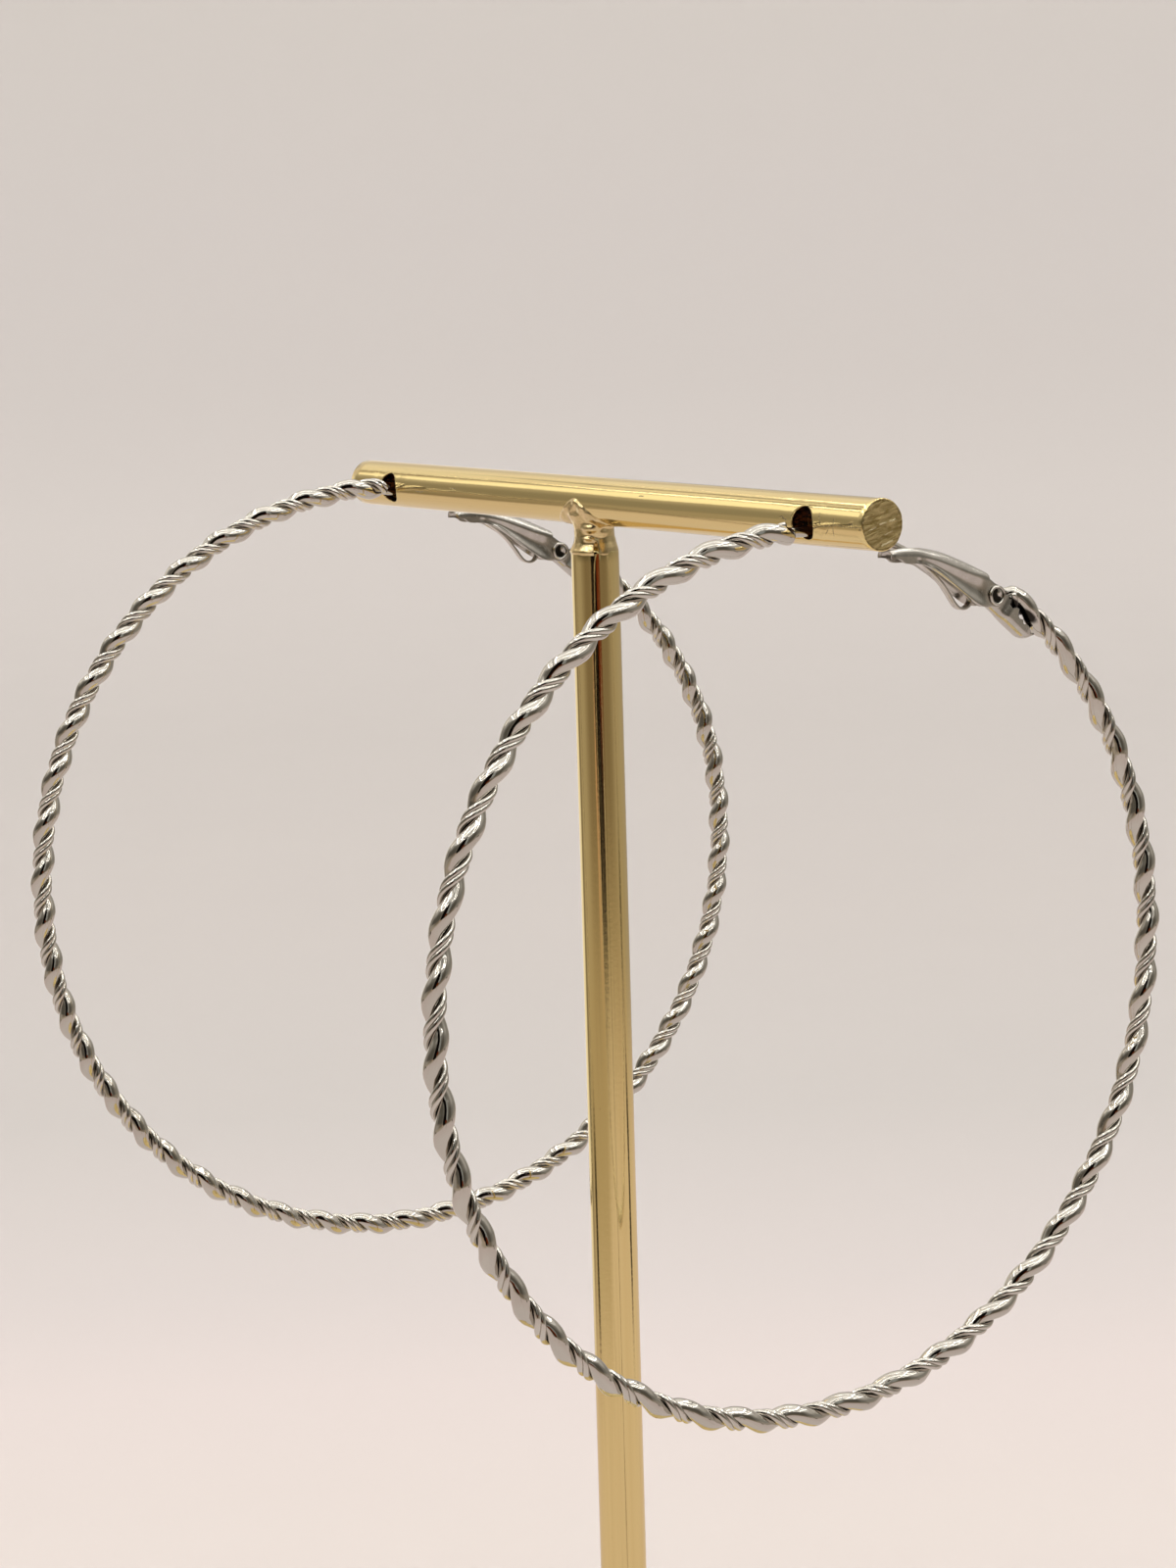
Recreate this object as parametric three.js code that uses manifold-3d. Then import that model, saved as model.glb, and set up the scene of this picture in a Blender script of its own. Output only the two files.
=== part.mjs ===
// Pair of large twisted hoop earrings hanging from a T-bar stand.
// Millimetres, +Z up, the bar lies along X and the post stands at x = 0, y = 0.
// Each hoop lies in its own upright plane across the bar. Its ear pin passes
// through a hole in the bar and ends in the slotted tip of a small hinged lever.
import * as THREE from 'three';
import { mergeVertices } from 'three/addons/utils/BufferGeometryUtils.js';
import Module from 'manifold-3d';

// ---------------------------------------------------------------- stand sizes
const ROD_DIAMETER = 4.0;          // bar and post are cut from the same rod
const BAR_AXIS_HEIGHT = 114.0;     // above the surface the foot stands on
const BAR_LEFT = -35.7;            // x of the bar's left end
const BAR_RIGHT = 37.35;           // x of the bar's right end
const HOLE_DIAMETER = 2.54;        // cross-drilled holes, along Y
const HOLE_DROP = 0.12;            // holes sit this far below the bar's axis
const FOOT_DIAMETER = 60.0;
const FOOT_THICKNESS = 5.0;
const FOOT_ROUNDING = 1.2;
const SOCKET_DEPTH = 3.0;          // post foot stands in a blind socket
const SOCKET_CLEARANCE = 0.3;

// brazed neck: the post ends in a waisted plug of solder with a rolled lower
// rim, and a run of solder climbs the bar on one side
const POST_TOP = 4.3;              // below the bar's axis
const NECK = [
  { below: 4.75, radius: 1.9 },
  { below: 4.5, radius: 2.08 },
  { below: 4.1, radius: 2.1 },
  { below: 3.8, radius: 1.92 },
  { below: 3.3, radius: 1.76 },
  { below: 2.8, radius: 1.68 },
  { below: 2.3, radius: 1.68 },
  { below: 1.7, radius: 1.95 },
  { below: 1.1, radius: 2.1 },
  { below: 0.7, radius: 1.6 },
];
const SOLDER_RUN = { x: -0.2, y: -1.6, below: 0.85, rx: 1.3, ry: 0.6, rz: 1.15 };

// ---------------------------------------------------------------- hoop sizes
const ROPE_RADIUS = 1.02;          // envelope of the twisted wires
const PIN_RADIUS = 0.4;            // ear pin, 0.8 mm wire
const CLASP_ANGLE = 57.35;         // hinge rivet, degrees from +Y round the hoop
const CLASP_INSIDE = 1.07;         // rivet sits inside the rope's centreline
const ROPE_END_ANGLE = 415.0;      // rope ends beside the rivet
const EASE_ANGLE = 45.0;           // stretch over which the rope eases inwards
const SIDES_ROPE = 12;
const SIDES_PIN = 10;

// one row for each hoop; hole is the hole's x, centre is measured from the
// bar's axis at the post, yaw and lean turn the hoop's plane (degrees), start
// is where the rope ends at the ear pin, inset moves the clasp inwards
const HOOPS = [
  { name: 'front', radius: 34.72, hole: 30.2, x: 30.68, y: -1.71, z: -35.41,
    yaw: -0.85, lean: 0.84, start: 92.6, inset: 0.0 },
  { name: 'back', radius: 33.96, hole: -29.3, x: -29.08, y: -2.56, z: -33.98,
    yaw: -7.07, lean: 0.91, start: 89.4, inset: 0.75 },
];

// ear pin route: y from the hole's middle, z from the bar's axis
const PIN_ROUTE = {
  front: [
    { y: -4.2, z: -0.72 }, { y: -2.0, z: -0.78 }, { y: 0.0, z: -0.82 },
    { y: 2.0, z: -0.90 }, { y: 4.0, z: -1.35 }, { y: 6.0, z: -2.12 },
    { y: 7.9, z: -3.0 },
  ],
  back: [
    { y: -3.2, z: -0.12 }, { y: -2.0, z: -0.38 }, { y: 0.0, z: -0.68 },
    { y: 2.0, z: -0.90 }, { y: 3.6, z: -1.38 }, { y: 5.0, z: -2.05 },
    { y: 6.5, z: -2.8 },
  ],
};

// ---------------------------------------------------------------- clasp sizes
const LEVER_WIDTH = 2.0;           // across the folded channel
const SHEET = 0.3;                 // sheet the lever is folded from
const LEVER_ROUNDING = 0.15;       // rounded fold between back and sides
const SLOT_WIDTH = 1.1;            // fork in the lever's tip, takes the pin
const SLOT_END = -7.0;             // fork ends this far from the rivet
const RIVET_RADIUS = 0.35;
const RIVET_HEAD_RADIUS = 0.8;
const RIVET_HEAD = 0.2;
const RIVET_RECESS_RADIUS = 0.58;
const RIVET_RECESS = 0.14;
const RIVET_BORE_RADIUS = 0.43;
const EAR_RADIUS = 1.0;
const BRACKET_WIDTH = 1.2;
const BRACKET_RADIUS = 0.93;
const BRACKET_END = { y: 3.51, z: -2.93 };
const SPRING_WIDTH = 0.65;

// lever seen from the side, measured from the rivet: along is towards +Y,
// up is towards +Z, back is the outside of the fold
const LEVER_BACK = [
  { along: -11.2, up: 3.95 }, { along: -10.6, up: 4.2 }, { along: -9.4, up: 4.3 },
  { along: -7.6, up: 4.22 }, { along: -5.6, up: 3.75 }, { along: -3.4, up: 3.0 },
  { along: -1.3, up: 2.05 }, { along: -0.75, up: 1.72 },
];
const LEVER_EDGE = [
  { along: -1.3, up: -0.6 }, { along: -2.6, up: 0.25 }, { along: -4.6, up: 1.55 },
  { along: -6.4, up: 2.75 }, { along: -7.6, up: 3.2 }, { along: -9.3, up: 3.4 },
  { along: -10.6, up: 3.46 }, { along: -11.15, up: 3.6 },
];
// spring tongue: a strip that runs down inside the channel, loops and returns
const SPRING_OUTLINE = [
  { along: -7.0, up: 3.3 }, { along: -7.3, up: 3.05 }, { along: -6.25, up: 2.4 },
  { along: -4.75, up: 1.15 }, { along: -3.75, up: -0.2 }, { along: -3.2, up: -0.8 },
  { along: -2.65, up: -0.95 }, { along: -2.1, up: -0.78 }, { along: -1.75, up: -0.35 },
  { along: -2.3, up: 0.45 }, { along: -4.2, up: 1.9 }, { along: -5.8, up: 2.95 },
];
const SPRING_EYE = [
  { along: -3.1, up: 0.2 }, { along: -2.95, up: -0.38 }, { along: -2.6, up: -0.6 },
  { along: -2.25, up: -0.42 }, { along: -2.2, up: -0.1 }, { along: -2.65, up: 0.4 },
  { along: -3.5, up: 1.05 }, { along: -3.65, up: 0.9 },
];

// ---------------------------------------------------------------- materials
const gold = (name) => new THREE.MeshStandardMaterial({
  name, color: 0xd2b478, roughness: 0.28, metalness: 1.0 });
const silver = (name) => new THREE.MeshStandardMaterial({
  name, color: 0xcfcbc6, roughness: 0.16, metalness: 1.0 });

// ---------------------------------------------------------------- solids
const wasm = await Module();
wasm.setup();

function solid(geometry) {
  const g = geometry.index ? geometry.toNonIndexed() : geometry.clone();
  g.deleteAttribute('normal');
  g.deleteAttribute('uv');
  const m = mergeVertices(g, 1e-4);
  return new wasm.Manifold(new wasm.Mesh({
    numProp: 3,
    vertProperties: new Float32Array(m.attributes.position.array),
    triVerts: new Uint32Array(m.index.array),
  }));
}

function geometryOf(manifold) {
  const mesh = manifold.getMesh();
  const g = new THREE.BufferGeometry();
  g.setAttribute('position', new THREE.BufferAttribute(
    new Float32Array(mesh.vertProperties), 3));
  g.setIndex(new THREE.BufferAttribute(new Uint32Array(mesh.triVerts), 1));
  g.computeVertexNormals();
  return g;
}

const moved = (g, x, y, z) => { g.translate(x, y, z); return g; };

// cylinder along x, y or z
function rod(radius, length, axis, sides) {
  const g = new THREE.CylinderGeometry(radius, radius, length, sides);
  if (axis === 'x') g.rotateZ(Math.PI / 2);
  if (axis === 'z') g.rotateX(Math.PI / 2);
  return g;
}

// outline in the Y-Z plane made into a plate across X
function plate(shape, width, rounding = 0) {
  const g = new THREE.ExtrudeGeometry(shape, {
    depth: width - 2 * rounding, steps: 1, curveSegments: 16,
    bevelEnabled: rounding > 0, bevelThickness: rounding, bevelSize: rounding,
    bevelOffset: -rounding, bevelSegments: 3,
  });
  g.translate(0, 0, -(width - 2 * rounding) / 2);
  g.applyMatrix4(new THREE.Matrix4().makeBasis(
    new THREE.Vector3(0, 1, 0), new THREE.Vector3(0, 0, 1), new THREE.Vector3(1, 0, 0)));
  return g;
}

// arc of a hoop in the Y-Z plane; its last stretch eases inwards by inset
class HoopArc extends THREE.Curve {
  constructor(radius, from, to, inset) {
    super();
    this.radius = radius;
    this.inset = inset;
    this.from = THREE.MathUtils.degToRad(from);
    this.to = THREE.MathUtils.degToRad(to);
  }
  getPoint(t, target = new THREE.Vector3()) {
    const a = this.from + (this.to - this.from) * t;
    const ease = THREE.MathUtils.smoothstep(
      THREE.MathUtils.radToDeg(this.to - a), 0, EASE_ANGLE);
    const r = this.radius - this.inset * (1 - ease);
    return target.set(0, r * Math.cos(a), r * Math.sin(a));
  }
}

function tube(curve, radius, sides, steps) {
  const section = new THREE.Shape();
  for (let i = 0; i < sides; i++) {
    const a = (2 * Math.PI * (i + 0.5)) / sides;
    const x = radius * Math.cos(a);
    const y = radius * Math.sin(a);
    if (i === 0) section.moveTo(x, y); else section.lineTo(x, y);
  }
  section.closePath();
  return new THREE.ExtrudeGeometry(section, {
    steps, bevelEnabled: false, extrudePath: curve });
}

// ---------------------------------------------------------------- stand
function standFrame() {
  const r = ROD_DIAMETER / 2;
  const bar = moved(rod(r, BAR_RIGHT - BAR_LEFT, 'x', 48),
    (BAR_LEFT + BAR_RIGHT) / 2, 0, BAR_AXIS_HEIGHT);
  const foot = FOOT_THICKNESS - SOCKET_DEPTH + SOCKET_CLEARANCE;
  const top = BAR_AXIS_HEIGHT - POST_TOP;
  const post = moved(rod(r, top - foot, 'z', 48), 0, 0, (top + foot) / 2);
  const profile = [new THREE.Vector2(0, BAR_AXIS_HEIGHT - NECK[0].below)];
  for (const row of NECK) {
    profile.push(new THREE.Vector2(row.radius, BAR_AXIS_HEIGHT - row.below));
  }
  profile.push(new THREE.Vector2(0, BAR_AXIS_HEIGHT - NECK[NECK.length - 1].below));
  const neck = new THREE.LatheGeometry(profile, 40);
  neck.rotateX(Math.PI / 2);
  const run = new THREE.SphereGeometry(1, 20, 14);
  run.scale(SOLDER_RUN.rx, SOLDER_RUN.ry, SOLDER_RUN.rz);
  run.translate(SOLDER_RUN.x, SOLDER_RUN.y, BAR_AXIS_HEIGHT - SOLDER_RUN.below);
  let frame = solid(bar).add(solid(post)).add(solid(neck)).add(solid(run));
  for (const hoop of HOOPS) {
    const hole = moved(rod(HOLE_DIAMETER / 2, ROD_DIAMETER * 2, 'y', 32),
      hoop.hole, 0, BAR_AXIS_HEIGHT - HOLE_DROP);
    frame = frame.subtract(solid(hole));
  }
  return geometryOf(frame);
}

function standBase() {
  const r = FOOT_DIAMETER / 2;
  const t = FOOT_THICKNESS;
  const c = FOOT_ROUNDING;
  const socket = ROD_DIAMETER / 2 + SOCKET_CLEARANCE;
  const profile = [new THREE.Vector2(0, 0), new THREE.Vector2(r - 0.6, 0),
    new THREE.Vector2(r, 0.6)];
  for (let i = 0; i <= 4; i++) {
    const a = (Math.PI / 2) * (i / 4);
    profile.push(new THREE.Vector2(r - c + c * Math.cos(a), t - c + c * Math.sin(a)));
  }
  profile.push(new THREE.Vector2(socket, t),
    new THREE.Vector2(socket, t - SOCKET_DEPTH),
    new THREE.Vector2(0, t - SOCKET_DEPTH));
  const g = new THREE.LatheGeometry(profile, 64);
  g.rotateX(Math.PI / 2);
  return geometryOf(solid(g));
}

// ---------------------------------------------------------------- hoop pieces
function rivetPoint(hoop) {
  const r = hoop.radius - CLASP_INSIDE - hoop.inset;
  const a = THREE.MathUtils.degToRad(CLASP_ANGLE);
  return { y: r * Math.cos(a), z: r * Math.sin(a) };
}

function shapeFrom(rows, at) {
  const shape = new THREE.Shape();
  rows.forEach((row, i) => {
    const y = at.y + row.along;
    const z = at.z + row.up;
    if (i === 0) shape.moveTo(y, z); else shape.lineTo(y, z);
  });
  shape.closePath();
  return shape;
}

function hoopRing(hoop) {
  const at = rivetPoint(hoop);
  const rope = tube(new HoopArc(hoop.radius, hoop.start, ROPE_END_ANGLE, hoop.inset),
    ROPE_RADIUS, SIDES_ROPE, 84);
  // the pin runs through the hole in the bar and down into the lever's fork
  const route = PIN_ROUTE[hoop.name].map((p) =>
    new THREE.Vector3(0, p.y - hoop.y, p.z - hoop.z));
  const pin = tube(new THREE.CatmullRomCurve3(route, false, 'centripetal'),
    PIN_RADIUS, SIDES_PIN, 14);
  // hinge bracket: a round-ended tongue soldered along the rope's inside
  const slope = Math.atan2(BRACKET_END.z, BRACKET_END.y);
  const tongue = new THREE.Shape();
  tongue.absarc(at.y, at.z, BRACKET_RADIUS, slope + Math.PI / 2, slope + 1.5 * Math.PI, false);
  tongue.absarc(at.y + BRACKET_END.y, at.z + BRACKET_END.z, BRACKET_RADIUS,
    slope - Math.PI / 2, slope + Math.PI / 2, false);
  tongue.closePath();
  const bracket = plate(tongue, BRACKET_WIDTH);
  const bore = moved(rod(RIVET_BORE_RADIUS, LEVER_WIDTH * 2, 'x', 24), 0, at.y, at.z);
  // the rope's end is ground back round the lever's ears
  const relief = moved(rod(EAR_RADIUS + 0.25, LEVER_WIDTH + 1, 'x', 32), 0, at.y, at.z);
  const ropeEnd = solid(rope).subtract(solid(relief));
  return geometryOf(ropeEnd.add(solid(pin)).add(solid(bracket)).subtract(solid(bore)));
}

function hoopLever(hoop) {
  const at = rivetPoint(hoop);
  const outline = [...LEVER_BACK];
  for (let i = 0; i <= 12; i++) {
    const a = THREE.MathUtils.degToRad(62 - i * (190 / 12));
    outline.push({ along: EAR_RADIUS * Math.cos(a), up: EAR_RADIUS * Math.sin(a) });
  }
  outline.push(...LEVER_EDGE);
  const outer = plate(shapeFrom(outline.reverse(), at), LEVER_WIDTH, LEVER_ROUNDING);
  // the channel inside the fold, open downwards and at both ends
  const inside = [
    ...LEVER_BACK.map((p) => ({ along: p.along, up: p.up - SHEET })),
    { along: 2.5, up: 1.42 }, { along: 2.5, up: -3.0 }, { along: -13, up: -3.0 },
    { along: -13, up: LEVER_BACK[0].up - SHEET },
  ];
  const channel = plate(shapeFrom(inside.reverse(), at), LEVER_WIDTH - 2 * SHEET);
  const fork = new THREE.BoxGeometry(SLOT_WIDTH, SLOT_END + 13, 4);
  fork.translate(0, at.y + (SLOT_END - 13) / 2, at.z + 4);
  const bore = moved(rod(RIVET_BORE_RADIUS, LEVER_WIDTH * 2, 'x', 24), 0, at.y, at.z);
  return geometryOf(solid(outer).subtract(solid(channel))
    .subtract(solid(fork)).subtract(solid(bore)));
}

function hoopSpring(hoop) {
  const at = rivetPoint(hoop);
  const strip = solid(plate(shapeFrom([...SPRING_OUTLINE], at), SPRING_WIDTH));
  const eye = solid(plate(shapeFrom([...SPRING_EYE], at), SPRING_WIDTH + 1));
  return geometryOf(strip.subtract(eye));
}

function hoopRivet(hoop) {
  const at = rivetPoint(hoop);
  const half = LEVER_WIDTH / 2 + 0.06;
  const end = half + RIVET_HEAD;
  const profile = [
    new THREE.Vector2(0, -end + RIVET_RECESS),
    new THREE.Vector2(RIVET_RECESS_RADIUS, -end + RIVET_RECESS),
    new THREE.Vector2(RIVET_RECESS_RADIUS, -end),
    new THREE.Vector2(RIVET_HEAD_RADIUS - 0.06, -end),
    new THREE.Vector2(RIVET_HEAD_RADIUS, -end + 0.08),
    new THREE.Vector2(RIVET_HEAD_RADIUS, -half),
    new THREE.Vector2(RIVET_RADIUS, -half),
    new THREE.Vector2(RIVET_RADIUS, half),
    new THREE.Vector2(RIVET_HEAD_RADIUS, half),
    new THREE.Vector2(RIVET_HEAD_RADIUS, end - 0.08),
    new THREE.Vector2(RIVET_HEAD_RADIUS - 0.06, end),
    new THREE.Vector2(RIVET_RECESS_RADIUS, end),
    new THREE.Vector2(RIVET_RECESS_RADIUS, end - RIVET_RECESS),
    new THREE.Vector2(0, end - RIVET_RECESS),
  ];
  const g = new THREE.LatheGeometry(profile, 24);
  g.rotateZ(-Math.PI / 2);
  return geometryOf(solid(moved(g, 0, at.y, at.z)));
}

// ---------------------------------------------------------------- assembly
function named(name, geometry, material) {
  const mesh = new THREE.Mesh(geometry, material);
  mesh.name = name;
  return mesh;
}

const group = new THREE.Group();
group.add(named('stand_frame', standFrame(), gold('stand_gold')));
group.add(named('stand_base', standBase(), gold('foot_gold')));

for (const hoop of HOOPS) {
  const holder = new THREE.Group();
  holder.position.set(hoop.x, hoop.y, BAR_AXIS_HEIGHT + hoop.z);
  holder.rotation.order = 'ZYX';
  holder.rotation.set(0, THREE.MathUtils.degToRad(-hoop.lean),
    THREE.MathUtils.degToRad(hoop.yaw));
  const tag = `hoop_${hoop.name}`;
  holder.add(named(`${tag}_ring`, hoopRing(hoop), silver(`${tag}_wire`)));
  holder.add(named(`${tag}_lever`, hoopLever(hoop), silver(`${tag}_sheet`)));
  holder.add(named(`${tag}_spring`, hoopSpring(hoop), silver(`${tag}_strip`)));
  holder.add(named(`${tag}_rivet`, hoopRivet(hoop), silver(`${tag}_rivet_metal`)));
  group.add(holder);
}

export default group;
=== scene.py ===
import math

import bmesh
import bpy
import numpy as np
from mathutils import Matrix, Vector


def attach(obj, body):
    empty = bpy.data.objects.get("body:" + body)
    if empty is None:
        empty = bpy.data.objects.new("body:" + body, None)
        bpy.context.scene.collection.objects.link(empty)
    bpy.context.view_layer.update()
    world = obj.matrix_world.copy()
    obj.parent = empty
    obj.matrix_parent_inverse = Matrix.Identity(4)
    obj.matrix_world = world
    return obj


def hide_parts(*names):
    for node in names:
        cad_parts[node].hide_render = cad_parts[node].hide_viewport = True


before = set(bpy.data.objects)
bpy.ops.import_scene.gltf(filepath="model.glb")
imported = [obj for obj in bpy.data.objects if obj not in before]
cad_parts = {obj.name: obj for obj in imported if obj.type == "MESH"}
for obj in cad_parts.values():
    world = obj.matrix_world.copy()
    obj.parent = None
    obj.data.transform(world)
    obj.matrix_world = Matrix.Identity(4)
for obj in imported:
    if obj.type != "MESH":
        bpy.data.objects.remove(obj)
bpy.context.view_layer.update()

MM = 0.001
rng = np.random.default_rng(7)

# ------------------------------------------------------------------ camera
BAR_Z = 114.0                      # bar's axis above the floor, mm
YAW, PITCH, ROLL = (math.radians(a) for a in (-55.15778, 9.28035, 1.65847))
EYE = np.array([231.9065, -162.8211, BAR_Z + 22.3995])


def camera_axes():
    f = np.array([math.sin(YAW) * math.cos(PITCH), math.cos(YAW) * math.cos(PITCH), -math.sin(PITCH)])
    r = np.array([math.cos(YAW), -math.sin(YAW), 0.0])
    d = np.cross(f, r)
    return (math.cos(ROLL) * r + math.sin(ROLL) * d,
            -math.sin(ROLL) * r + math.cos(ROLL) * d, f)


right, down, forward = camera_axes()
lens = bpy.data.cameras.new("camera")
lens.sensor_fit = "AUTO"
lens.sensor_width = 36.0
lens.lens = 78.037
lens.clip_start = 0.005
lens.clip_end = 20.0
camera = bpy.data.objects.new("camera", lens)
matrix = Matrix.Identity(4)
for row in range(3):
    matrix[row][0] = right[row]
    matrix[row][1] = -down[row]
    matrix[row][2] = -forward[row]
    matrix[row][3] = EYE[row] * MM
camera.matrix_world = matrix
bpy.context.scene.collection.objects.link(camera)
bpy.context.scene.camera = camera

# ------------------------------------------------------------------ sizes (mm)
ROD = 2.0                          # radius of bar and post
BAR_LEFT, BAR_RIGHT = -35.7, 37.35
HOLE_RADIUS, HOLE_DROP = 1.27, 0.12
HOLES = (-29.3, 30.2)
HOOPS = {
    "front": dict(radius=34.72, centre=(30.68, -1.71, BAR_Z - 35.41), yaw=-0.85, lean=0.84,
                  start=92.6, inset=0.0,
                  pin=[(-4.2, -0.72), (-2.0, -0.78), (0.0, -0.82), (2.0, -0.90), (4.0, -1.35),
                       (6.0, -2.12), (7.9, -3.0)]),
    "back": dict(radius=33.96, centre=(-29.08, -2.56, BAR_Z - 33.98), yaw=-7.07, lean=0.91,
                 start=89.4, inset=0.75,
                 pin=[(-3.2, -0.12), (-2.0, -0.38), (0.0, -0.68), (2.0, -0.90), (3.6, -1.38),
                      (5.0, -2.05), (6.5, -2.8)]),
}
ROPE_END = 415.0
EASE = 45.0
CLASP_ANGLE, CLASP_INSIDE = 57.35, 1.07
THICK, THICK_OFF = 0.69, 0.350     # wire radius and helix radius
THIN, THIN_OFF, THIN_HALF = 0.25, 0.600, math.radians(24.0)
# hoop angles at which the pair of thin wires lies on the side towards +X
BANDS = {
    "front": [98.8, 107.4, 116.2, 125.2, 133.9, 142.3, 151.0, 159.3, 167.8, 176.3, 185.0, 193.5,
              202.2, 210.8, 219.2, 227.6, 235.9, 244.3, 252.7, 261.2, 269.6, 278.2, 286.7, 295.0,
              303.5, 312.1, 320.5, 328.8, 337.2, 345.8, 354.2, 362.2, 370.2, 379.0, 387.9, 396.6,
              405.4],
    "back": [90.1, 97.4, 104.8, 112.3, 119.9, 127.4, 134.8, 142.3, 149.7, 157.1, 164.4, 171.8,
             179.2, 186.6, 193.8, 201.1, 208.4, 215.6, 222.8, 230.0, 237.3, 244.5, 251.7, 258.9,
             266.1, 273.3, 280.5, 287.7, 294.9, 302.1, 309.2, 316.3, 323.5, 330.5, 337.5, 344.4,
             351.2, 358.1, 365.1, 372.2, 379.4, 386.8, 394.2, 401.6, 409.0, 416.4],
}
SHEET = 0.3


# ------------------------------------------------------------------ mesh help
def make(name, verts, faces, mats, face_mats=None, smooth=True, attributes=None, sharp_deg=None):
    mesh = bpy.data.meshes.new(name)
    mesh.from_pydata([tuple(v) for v in np.asarray(verts, float) * MM], [], faces)
    for m in mats:
        mesh.materials.append(m)
    if face_mats is not None:
        mesh.polygons.foreach_set("material_index", np.asarray(face_mats, np.int32))
    mesh.polygons.foreach_set("use_smooth", np.full(len(mesh.polygons), bool(smooth)))
    for key, values in (attributes or {}).items():
        values = np.asarray(values, np.float32)
        kind = "FLOAT" if values.ndim == 1 else "FLOAT_VECTOR"
        layer = mesh.attributes.new(key, kind, "POINT")
        layer.data.foreach_set("value" if values.ndim == 1 else "vector", values.ravel())
    mesh.update()
    obj = bpy.data.objects.new(name, mesh)
    bpy.context.scene.collection.objects.link(obj)
    if sharp_deg is not None:
        mesh.set_sharp_from_angle(angle=math.radians(sharp_deg))
    return obj


def fix_normals(obj):
    bm = bmesh.new()
    bm.from_mesh(obj.data)
    bmesh.ops.recalc_face_normals(bm, faces=bm.faces)
    bm.to_mesh(obj.data)
    bm.free()
    return obj


def apply_modifiers(obj):
    graph = bpy.context.evaluated_depsgraph_get()
    mesh = bpy.data.meshes.new_from_object(obj.evaluated_get(graph))
    obj.modifiers.clear()
    obj.data = mesh
    return obj


def unit(v):
    return v / np.maximum(np.linalg.norm(v, axis=-1, keepdims=True), 1e-12)


def transport(points, first):
    """Frames along a path that don't spin about it."""
    tangent = unit(np.gradient(points, axis=0))
    normal = np.zeros_like(points)
    n = first - tangent[0] * (first @ tangent[0])
    normal[0] = unit(n)
    for i in range(1, len(points)):
        n = normal[i - 1] - tangent[i] * (normal[i - 1] @ tangent[i])
        normal[i] = unit(n)
    return tangent, normal, np.cross(tangent, normal)


def tube(points, radii, sides, first, caps=("round", "round")):
    """Round wire along points; returns verts, faces, lay (mm along, section coordinates)."""
    points = np.asarray(points, float)
    radii = np.broadcast_to(np.asarray(radii, float), (len(points),)).copy()
    t, n, b = transport(points, np.asarray(first, float))
    along = np.r_[0.0, np.cumsum(np.linalg.norm(np.diff(points, axis=0), axis=1))]
    rings, ring_r, ring_a, ring_t, ring_n, ring_b = [], [], [], [], [], []

    def cap_rows(end, sign):
        r = radii[end]
        rows = []
        if caps[0 if sign < 0 else 1] == "round":
            for k in (1.0, 0.8, 0.55, 0.28):
                a = k * math.pi / 2
                rows.append((sign * r * 0.75 * math.sin(a), r * math.cos(a) + 1e-4))
        else:
            rows = [(sign * 0.0, r * 0.90), (sign * -0.03, r * 0.965)]
        return rows

    def add(i, shift, r):
        rings.append(points[i] + t[i] * shift)
        ring_r.append(r)
        ring_a.append(along[i] + shift)
        ring_t.append(t[i])
        ring_n.append(n[i])
        ring_b.append(b[i])

    for shift, r in cap_rows(0, -1):
        add(0, shift, r)
    for i in range(len(points)):
        if caps[0] == "flat" and i == 0:
            add(0, 0.07, radii[0])
            continue
        add(i, 0.0, radii[i])
    for shift, r in reversed(cap_rows(-1, 1)):
        add(-1, shift, r)
    phi = np.linspace(0, 2 * math.pi, sides, endpoint=False)
    c, s = np.cos(phi), np.sin(phi)
    rings, ring_r, ring_a = map(np.array, (rings, ring_r, ring_a))
    ring_n, ring_b = np.array(ring_n), np.array(ring_b)
    verts = (rings[:, None] + ring_r[:, None, None] *
             (c[None, :, None] * ring_n[:, None] + s[None, :, None] * ring_b[:, None]))
    lay = np.stack([np.broadcast_to(ring_a[:, None], (len(rings), sides)),
                    ring_r[:, None] * c[None], ring_r[:, None] * s[None]], -1)
    count = len(rings)
    faces = []
    for i in range(count - 1):
        for j in range(sides):
            k = (j + 1) % sides
            faces.append((i * sides + j, i * sides + k, (i + 1) * sides + k, (i + 1) * sides + j))
    verts = verts.reshape(-1, 3)
    lay = lay.reshape(-1, 3)
    faces.append(tuple(reversed(range(sides))))
    faces.append(tuple((count - 1) * sides + j for j in range(sides)))
    return verts, faces, lay


def catmull(points, count):
    """Smooth path through points, evenly spaced."""
    p = np.asarray(points, float)
    p = np.vstack([2 * p[0] - p[1], p, 2 * p[-1] - p[-2]])
    out = []
    for i in range(1, len(p) - 2):
        for t in np.linspace(0, 1, 24, endpoint=False):
            out.append(0.5 * ((2 * p[i]) + (-p[i - 1] + p[i + 1]) * t
                              + (2 * p[i - 1] - 5 * p[i] + 4 * p[i + 1] - p[i + 2]) * t ** 2
                              + (-p[i - 1] + 3 * p[i] - 3 * p[i + 1] + p[i + 2]) * t ** 3))
    out.append(p[-2])
    out = np.array(out)
    run = np.r_[0, np.cumsum(np.linalg.norm(np.diff(out, axis=0), axis=1))]
    at = np.linspace(0, run[-1], count)
    return np.stack([np.interp(at, run, out[:, k]) for k in range(out.shape[1])], -1)


def smoothstep(x, lo, hi):
    t = np.clip((np.asarray(x, float) - lo) / (hi - lo), 0, 1)
    return t * t * (3 - 2 * t)


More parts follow.
